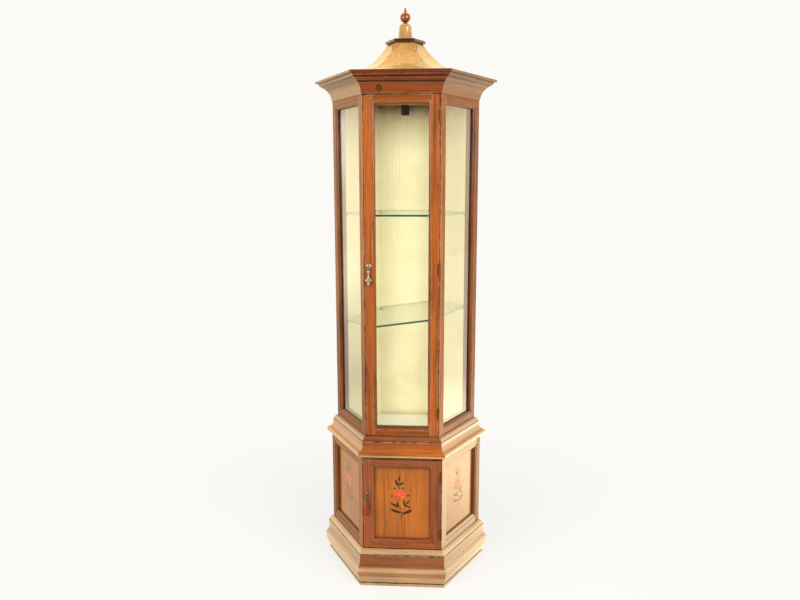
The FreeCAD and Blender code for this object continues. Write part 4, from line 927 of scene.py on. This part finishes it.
# The flower sprig on a panel, in mm from the panel's middle: paint, widest width, and points along the stroke
SPRIG = (
    ("leaf", 7, (-9, 77.5), (-8.4, 93.5)),
    ("leaf", 8, (-13, 60.9), (-18.5, 72), (-21.1, 84.6)),
    ("leaf", 7, (-10.2, 64.4), (-1, 69.5), (7.7, 72.7)),
    ("stem_dark", 2.5, (-8.6, 49), (-11.6, 60), (-9.4, 78)),
    ("leaf", 6, (-28.6, 48.4), (-21.6, 54)),
    ("leaf", 6, (0.2, 49), (6.6, 55.5)),
    ("leaf", 6, (-37.6, 24.4), (-29.8, 25)),
    ("leaf", 6, (15.8, 27), (23.8, 28.4)),
    ("petal", 15, (-8.2, 29), (-8.6, 47.6)),
    ("petal", 14, (-11, 28.4), (-27.6, 38)),
    ("petal", 14, (-5, 28.4), (10.4, 38.4)),
    ("petal_deep", 15, (-11, 24.4), (-27.4, 13)),
    ("petal", 14, (-4.6, 24), (12, 16)),
    ("petal_deep", 12, (-8, 23), (-7.4, 6.6)),
    ("heart", 4, (-10.8, 30.4), (-7, 29.6)),
    ("heart", 4, (-0.4, 23.8), (2.8, 23.2)),
    ("heart", 3.6, (-7.2, 18.4), (-4, 17.8)),
    ("stem", 3.4, (-4.4, 11), (-1.4, -8), (0.2, -26)),
    ("stem_dark", 3, (0, -30), (-1.2, -44), (-3.8, -58)),
    ("leaf", 8, (-10.2, -12.7), (-24, -8), (-38.9, 0.9)),
    ("leaf", 7, (-10.2, -12.7), (-15, -4), (-14.2, 6.2)),
    ("leaf", 7, (-21.6, -14.4), (-16.6, -11)),
    ("stem_dark", 3, (0.4, -24), (-5, -18), (-10.8, -12.4)),
    ("leaf", 7, (8.2, 13.4), (6.6, 0.3), (14, -9.2), (30.1, -15.1)),
    ("leaf", 6, (13.6, -3.4), (19, 4), (24.3, 8.6)),
    ("leaf", 10, (-2.3, -33.4), (-21.7, -29.4), (-38.9, -21.6)),
    ("leaf", 10, (-1, -38.9), (18.6, -31.1), (34.1, -22.2)),
)


class CABINET_OT_sprigs(bpy.types.Operator):
    """Paints a flower sprig on the front three panels of the cupboard"""

    bl_idname = "cabinet.sprigs"
    bl_label = "Painted sprigs"

    def execute(self, context):
        tints = context.scene.cabinet_colours
        lift = context.scene.cabinet_sizes.paint_thickness
        low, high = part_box("lower_door_panel")
        middle = (low.z + high.z) / 2
        paints = {
            "leaf": tints.leaf, "stem_dark": tints.leaf, "petal": tints.petal, "stem": tints.stem,
            "petal_deep": shaded(tints.petal, 0.72), "heart": tints.heart,
        }

        def on_panel(across, height, crown):
            """Points in the panel's plane, moved out of it by the crown."""
            return np.stack(np.broadcast_arrays(across, low.y - crown, middle + height), -1)

        grids, tones = [], []
        # A later stroke lies over the earlier ones, and the dots stand out most
        for order, (paint, width, *points) in enumerate(SPRIG):
            rise = lift * (0.7 + 0.3 * order / len(SPRIG) + (0.4 if paint == "heart" else 0))
            blunt = 0.2 if paint.startswith("stem") else 0.55
            swell = 1.5 if paint.startswith("petal") else 1.0
            grids.append(stroke(MM * np.array(points), MM * width, rise, on_panel, swell, blunt))
            tones.append(paints[paint])
        fading = 0.3
        paled = [
            tuple((1 - fading) * a + fading * b for a, b in zip(tone, tints.faded_paint)) for tone in tones
        ]
        for name, face, body, paint in (
            ("sprig_front", 0, "lower_door", tones), ("sprig_left", -1, "cabinet", paled),
            ("sprig_right", 1, "cabinet", paled),
        ):
            strokes = [about_z(grid, face * SIXTH) for grid in grids]
            add_piece(name, strokes, finish("oil paint, varnished"), body, paints=paint)
        return {"FINISHED"}


# The line ornament under the cap, on the front of the roof: paint, width in mm, and points along the stroke
# as mm from the middle and share of the way up the slope
SCROLLS = (
    ("line", 2.2, (-31.6, 0.957), (-38.5, 0.855), (-25.4, 0.757)),
    ("line", 1.5, (-30.6, 0.93), (-32.5, 0.86), (-17.5, 0.8)),
    ("line", 2.2, (-29.6, 0.96), (-23.5, 0.867)),
    ("line", 1.4, (-19.6, 0.96), (-16.5, 0.87)),
    ("line", 2.2, (32.5, 0.957), (39.6, 0.848), (25.0, 0.751)),
    ("line", 1.5, (30.4, 0.93), (31.4, 0.86), (15.5, 0.79)),
    ("line", 1.6, (17.4, 0.96), (14.2, 0.85)),
    ("line", 1.4, (27.0, 0.96), (22.4, 0.87)),
    ("blush", 6.0, (41.5, 0.69), (46.0, 0.64)),
    ("blush", 5.0, (50.0, 0.66), (54.0, 0.60)),
    ("line", 3.6, (56.6, 0.61), (60.0, 0.575)),
    ("line", 2.0, (-55.0, 0.63), (-49.0, 0.675)),
    ("blush", 5.0, (-47.5, 0.62), (-43.0, 0.585)),
)


class CABINET_OT_scrolls(bpy.types.Operator):
    """Paints the line ornament on the front of the roof"""

    bl_idname = "cabinet.scrolls"
    bl_label = "Roof ornament"

    def execute(self, context):
        tints = context.scene.cabinet_colours
        low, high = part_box("roof_boards")
        eaves, top_flat, sweep, lift = 6 * MM, 50 * MM, -0.114, 0.3 * MM
        slope = outline([(-low.y, low.z + eaves, 0), (top_flat, high.z, sweep)], 60)
        run = np.gradient(slope, axis=0)
        run /= np.linalg.norm(run, axis=1, keepdims=True)
        shares = np.linspace(0, 1, len(slope))
        length = np.linalg.norm(np.diff(slope, axis=0), axis=1).sum()

        def on_roof(across, up_slope, crown):
            """Points at a length up the roof's sweep, moved out by the crown square to the sweep."""
            share = up_slope / length
            flat, level = np.interp(share, shares, slope[:, 0]), np.interp(share, shares, slope[:, 1])
            out, up = np.interp(share, shares, run[:, 1]), np.interp(share, shares, -run[:, 0])
            return np.stack(np.broadcast_arrays(across, -(flat + crown * out), level + crown * up), -1)

        paints = {"line": tints.line, "blush": tints.blush}
        grids, tones = [], []
        for paint, width, *points in SCROLLS:
            points = np.array(points) * (MM, length)
            grids.append(stroke(points, MM * width, lift, on_roof, bluntness=0.4))
            tones.append(paints[paint])
        add_piece("roof_ornament", grids, finish("oil paint, varnished"), "cabinet", paints=tones)
        return {"FINISHED"}


def rays(node):
    """Which rays see the pale surroundings as they are, which mirror them, and the colour that they meet."""
    stage = bpy.context.scene.cabinet_stage
    path = node("LightPath").node.outputs
    direct = (path["Is Camera Ray"], path["Is Transmission Ray"])
    seen = node("Math", direct, operation="ADD", use_clamp=True)
    mirrored = path["Is Glossy Ray"]
    tone = node("Mix", {0: mirrored, 6: stage.pale, 7: stage.warm}, 2, data_type="RGBA")
    return seen, mirrored, tone


def pale_floor(name):
    """Matt white paper that glows a little, so that it meets the wall without a line, and keeps the cabinet's
    shadow. Lacquer and glass mirror it dark in front, and warm and bright behind, most on the right. Far away
    they mirror it like the wall."""
    stage = bpy.context.scene.cabinet_stage
    as_light, as_seen = 0.45, 0.72
    node, place = new_material(name)
    seen, mirrored, tone = rays(node)
    spot = node("SeparateXYZ", (place,)).node.outputs
    away = node("VectorMath", (place,), "Value", operation="LENGTH")
    behind = node("MapRange", (spot["Y"], -0.4, 0.3, 0.04, 1.0))
    right = node("MapRange", (spot["X"], -0.6, 0.8, 0.8, 4.0))
    near = node("MapRange", (away, 1.5, 2.6, 1.0, 0.4))
    sunlit = node("Math", (behind, right), operation="MULTIPLY")
    sunlit = node("Math", (sunlit, near), operation="MULTIPLY")
    wide = node("Math", (behind, stage.glare), operation="MULTIPLY")
    horizon = node("MapRange", (away, 2.6, 7.0))
    sunlit = node("Mix", {0: horizon, 2: sunlit, 3: wide}, data_type="FLOAT")
    level = node("Mix", {0: mirrored, 2: as_light, 3: sunlit}, data_type="FLOAT")
    level = node("Mix", {0: seen, 2: level, 3: as_seen}, data_type="FLOAT")
    matt = node("BsdfDiffuse", {"Color": (0.24, 0.24, 0.24, 1.0)})
    glow = node("Emission", {"Color": tone, "Strength": level})
    paper = node("AddShader", (matt, glow))
    wall = node("Emission", {"Color": stage.pale, "Strength": 1.0})
    plain = node("Math", (node("MapRange", (away, 0.5, 1.3)), seen), operation="MULTIPLY")
    node("OutputMaterial", {"Surface": node("MixShader", (plain, paper, wall))})


def pale_studio(name):
    """A pale room: its wall is seen as it is, lights the object evenly, and is mirrored dark in front of the
    cabinet and warm and bright behind it."""
    stage = bpy.context.scene.cabinet_stage
    world = bpy.data.worlds.new(name)
    node = cleared(world)
    seen, mirrored, tone = rays(node)
    level = node("MapRange", (seen, 0.0, 1.0, stage.sky, 1.0))
    deep = node("SeparateXYZ", (node("TexCoord", out="Generated"),), "Y")
    behind = node("MapRange", (deep, -0.45, 0.3, 0.05, stage.glare))
    level = node("Mix", {0: mirrored, 2: level, 3: behind}, data_type="FLOAT")
    sky = node("Background", {"Color": tone, "Strength": level})
    node("OutputWorld", {"Surface": sky})
    return world


class CABINET_OT_stage(bpy.types.Operator):
    """Sets the cabinet on a pale floor with soft light and the camera"""

    bl_idname = "cabinet.stage"
    bl_label = "Stage"

    def execute(self, context):
        scene = context.scene
        stage = scene.cabinet_stage
        reach = 9.0
        corners = [(x * reach, y * reach, 0.0) for x, y in ((-1, -1), (1, -1), (1, 1), (-1, 1))]
        mesh = bpy.data.meshes.new("floor")
        mesh.from_pydata(corners, [], [(0, 1, 2, 3)])
        floor = bpy.data.objects.new("floor", mesh)
        scene.collection.objects.link(floor)
        pale_floor("pale floor")
        mesh.materials.append(finish("pale floor"))
        scene.world = pale_studio("pale studio")

        middle = Vector((0, 0, 0.95))
        for name, watts, spot, width in (
            ("key", stage.key_power, (2.2, -2.8, 2.2), 1.8),
            ("fill", stage.fill_power, (-2.2, -2.8, 1.8), 1.8),
            ("right", stage.right_power, (3.0, 1.7, 0.7), 2.4),
            ("left", stage.left_power, (-3.0, 1.7, 0.7), 2.4),
        ):
            lamp = bpy.data.lights.new(name, "AREA")
            lamp.energy = watts
            lamp.size = width
            holder = bpy.data.objects.new(name, lamp)
            holder.location = spot
            # A lamp behind the cabinet would show as a hard edge in the side panes
            holder.visible_glossy = spot[1] < 0
            holder.rotation_euler = (middle - Vector(spot)).to_track_quat("-Z", "Y").to_euler()
            scene.collection.objects.link(holder)

        camera = bpy.data.cameras.new("camera")
        camera.lens = stage.lens
        camera.sensor_width = 36.0
        view = bpy.data.objects.new("camera", camera)
        turn = Matrix.Rotation(stage.camera_pan, 4, "Z") @ Matrix.Rotation(stage.camera_tilt, 4, "X")
        turn = turn @ Matrix.Rotation(stage.camera_roll, 4, "Z")
        view.matrix_world = Matrix.Translation(stage.camera_place) @ turn
        scene.collection.objects.link(view)
        scene.camera = view
        scene.view_settings.view_transform = "Standard"
        return {"FINISHED"}


GROUPS = {"cabinet_sizes": CabinetSizes, "cabinet_colours": CabinetColours, "cabinet_stage": CabinetStage}
OPERATORS = (
    CABINET_OT_finishes, CABINET_OT_linings, CABINET_OT_turnings, CABINET_OT_pull, CABINET_OT_switch,
    CABINET_OT_key, CABINET_OT_lamp_holder, CABINET_OT_sprigs, CABINET_OT_scrolls, CABINET_OT_stage,
)


class CABINET_PT_pieces(bpy.types.Panel):
    """Lists the cabinet's pieces and settings"""

    bl_idname = "CABINET_PT_pieces"
    bl_label = "Display cabinet"
    bl_space_type = "VIEW_3D"
    bl_region_type = "UI"
    bl_category = "Cabinet"

    def draw(self, context):
        for operator in OPERATORS:
            self.layout.operator(operator.bl_idname)
        for owner, group in GROUPS.items():
            for name in group.__annotations__:
                self.layout.prop(getattr(context.scene, owner), name)


def register():
    for group in GROUPS.values():
        bpy.utils.register_class(group)
    for name, group in GROUPS.items():
        setattr(bpy.types.Scene, name, PointerProperty(type=group))
    for operator in (*OPERATORS, CABINET_PT_pieces):
        bpy.utils.register_class(operator)


def unregister():
    for operator in (CABINET_PT_pieces, *reversed(OPERATORS)):
        bpy.utils.unregister_class(operator)
    for name, group in GROUPS.items():
        delattr(bpy.types.Scene, name)
        bpy.utils.unregister_class(group)


def main():
    register()
    bpy.ops.cabinet.finishes()
    bpy.ops.cabinet.linings()
    bpy.ops.cabinet.turnings()
    bpy.ops.cabinet.pull()
    bpy.ops.cabinet.switch()
    bpy.ops.cabinet.key()
    bpy.ops.cabinet.lamp_holder()
    bpy.ops.cabinet.sprigs()
    bpy.ops.cabinet.scrolls()
    bpy.ops.cabinet.stage()


if __name__ == "__main__":
    main()
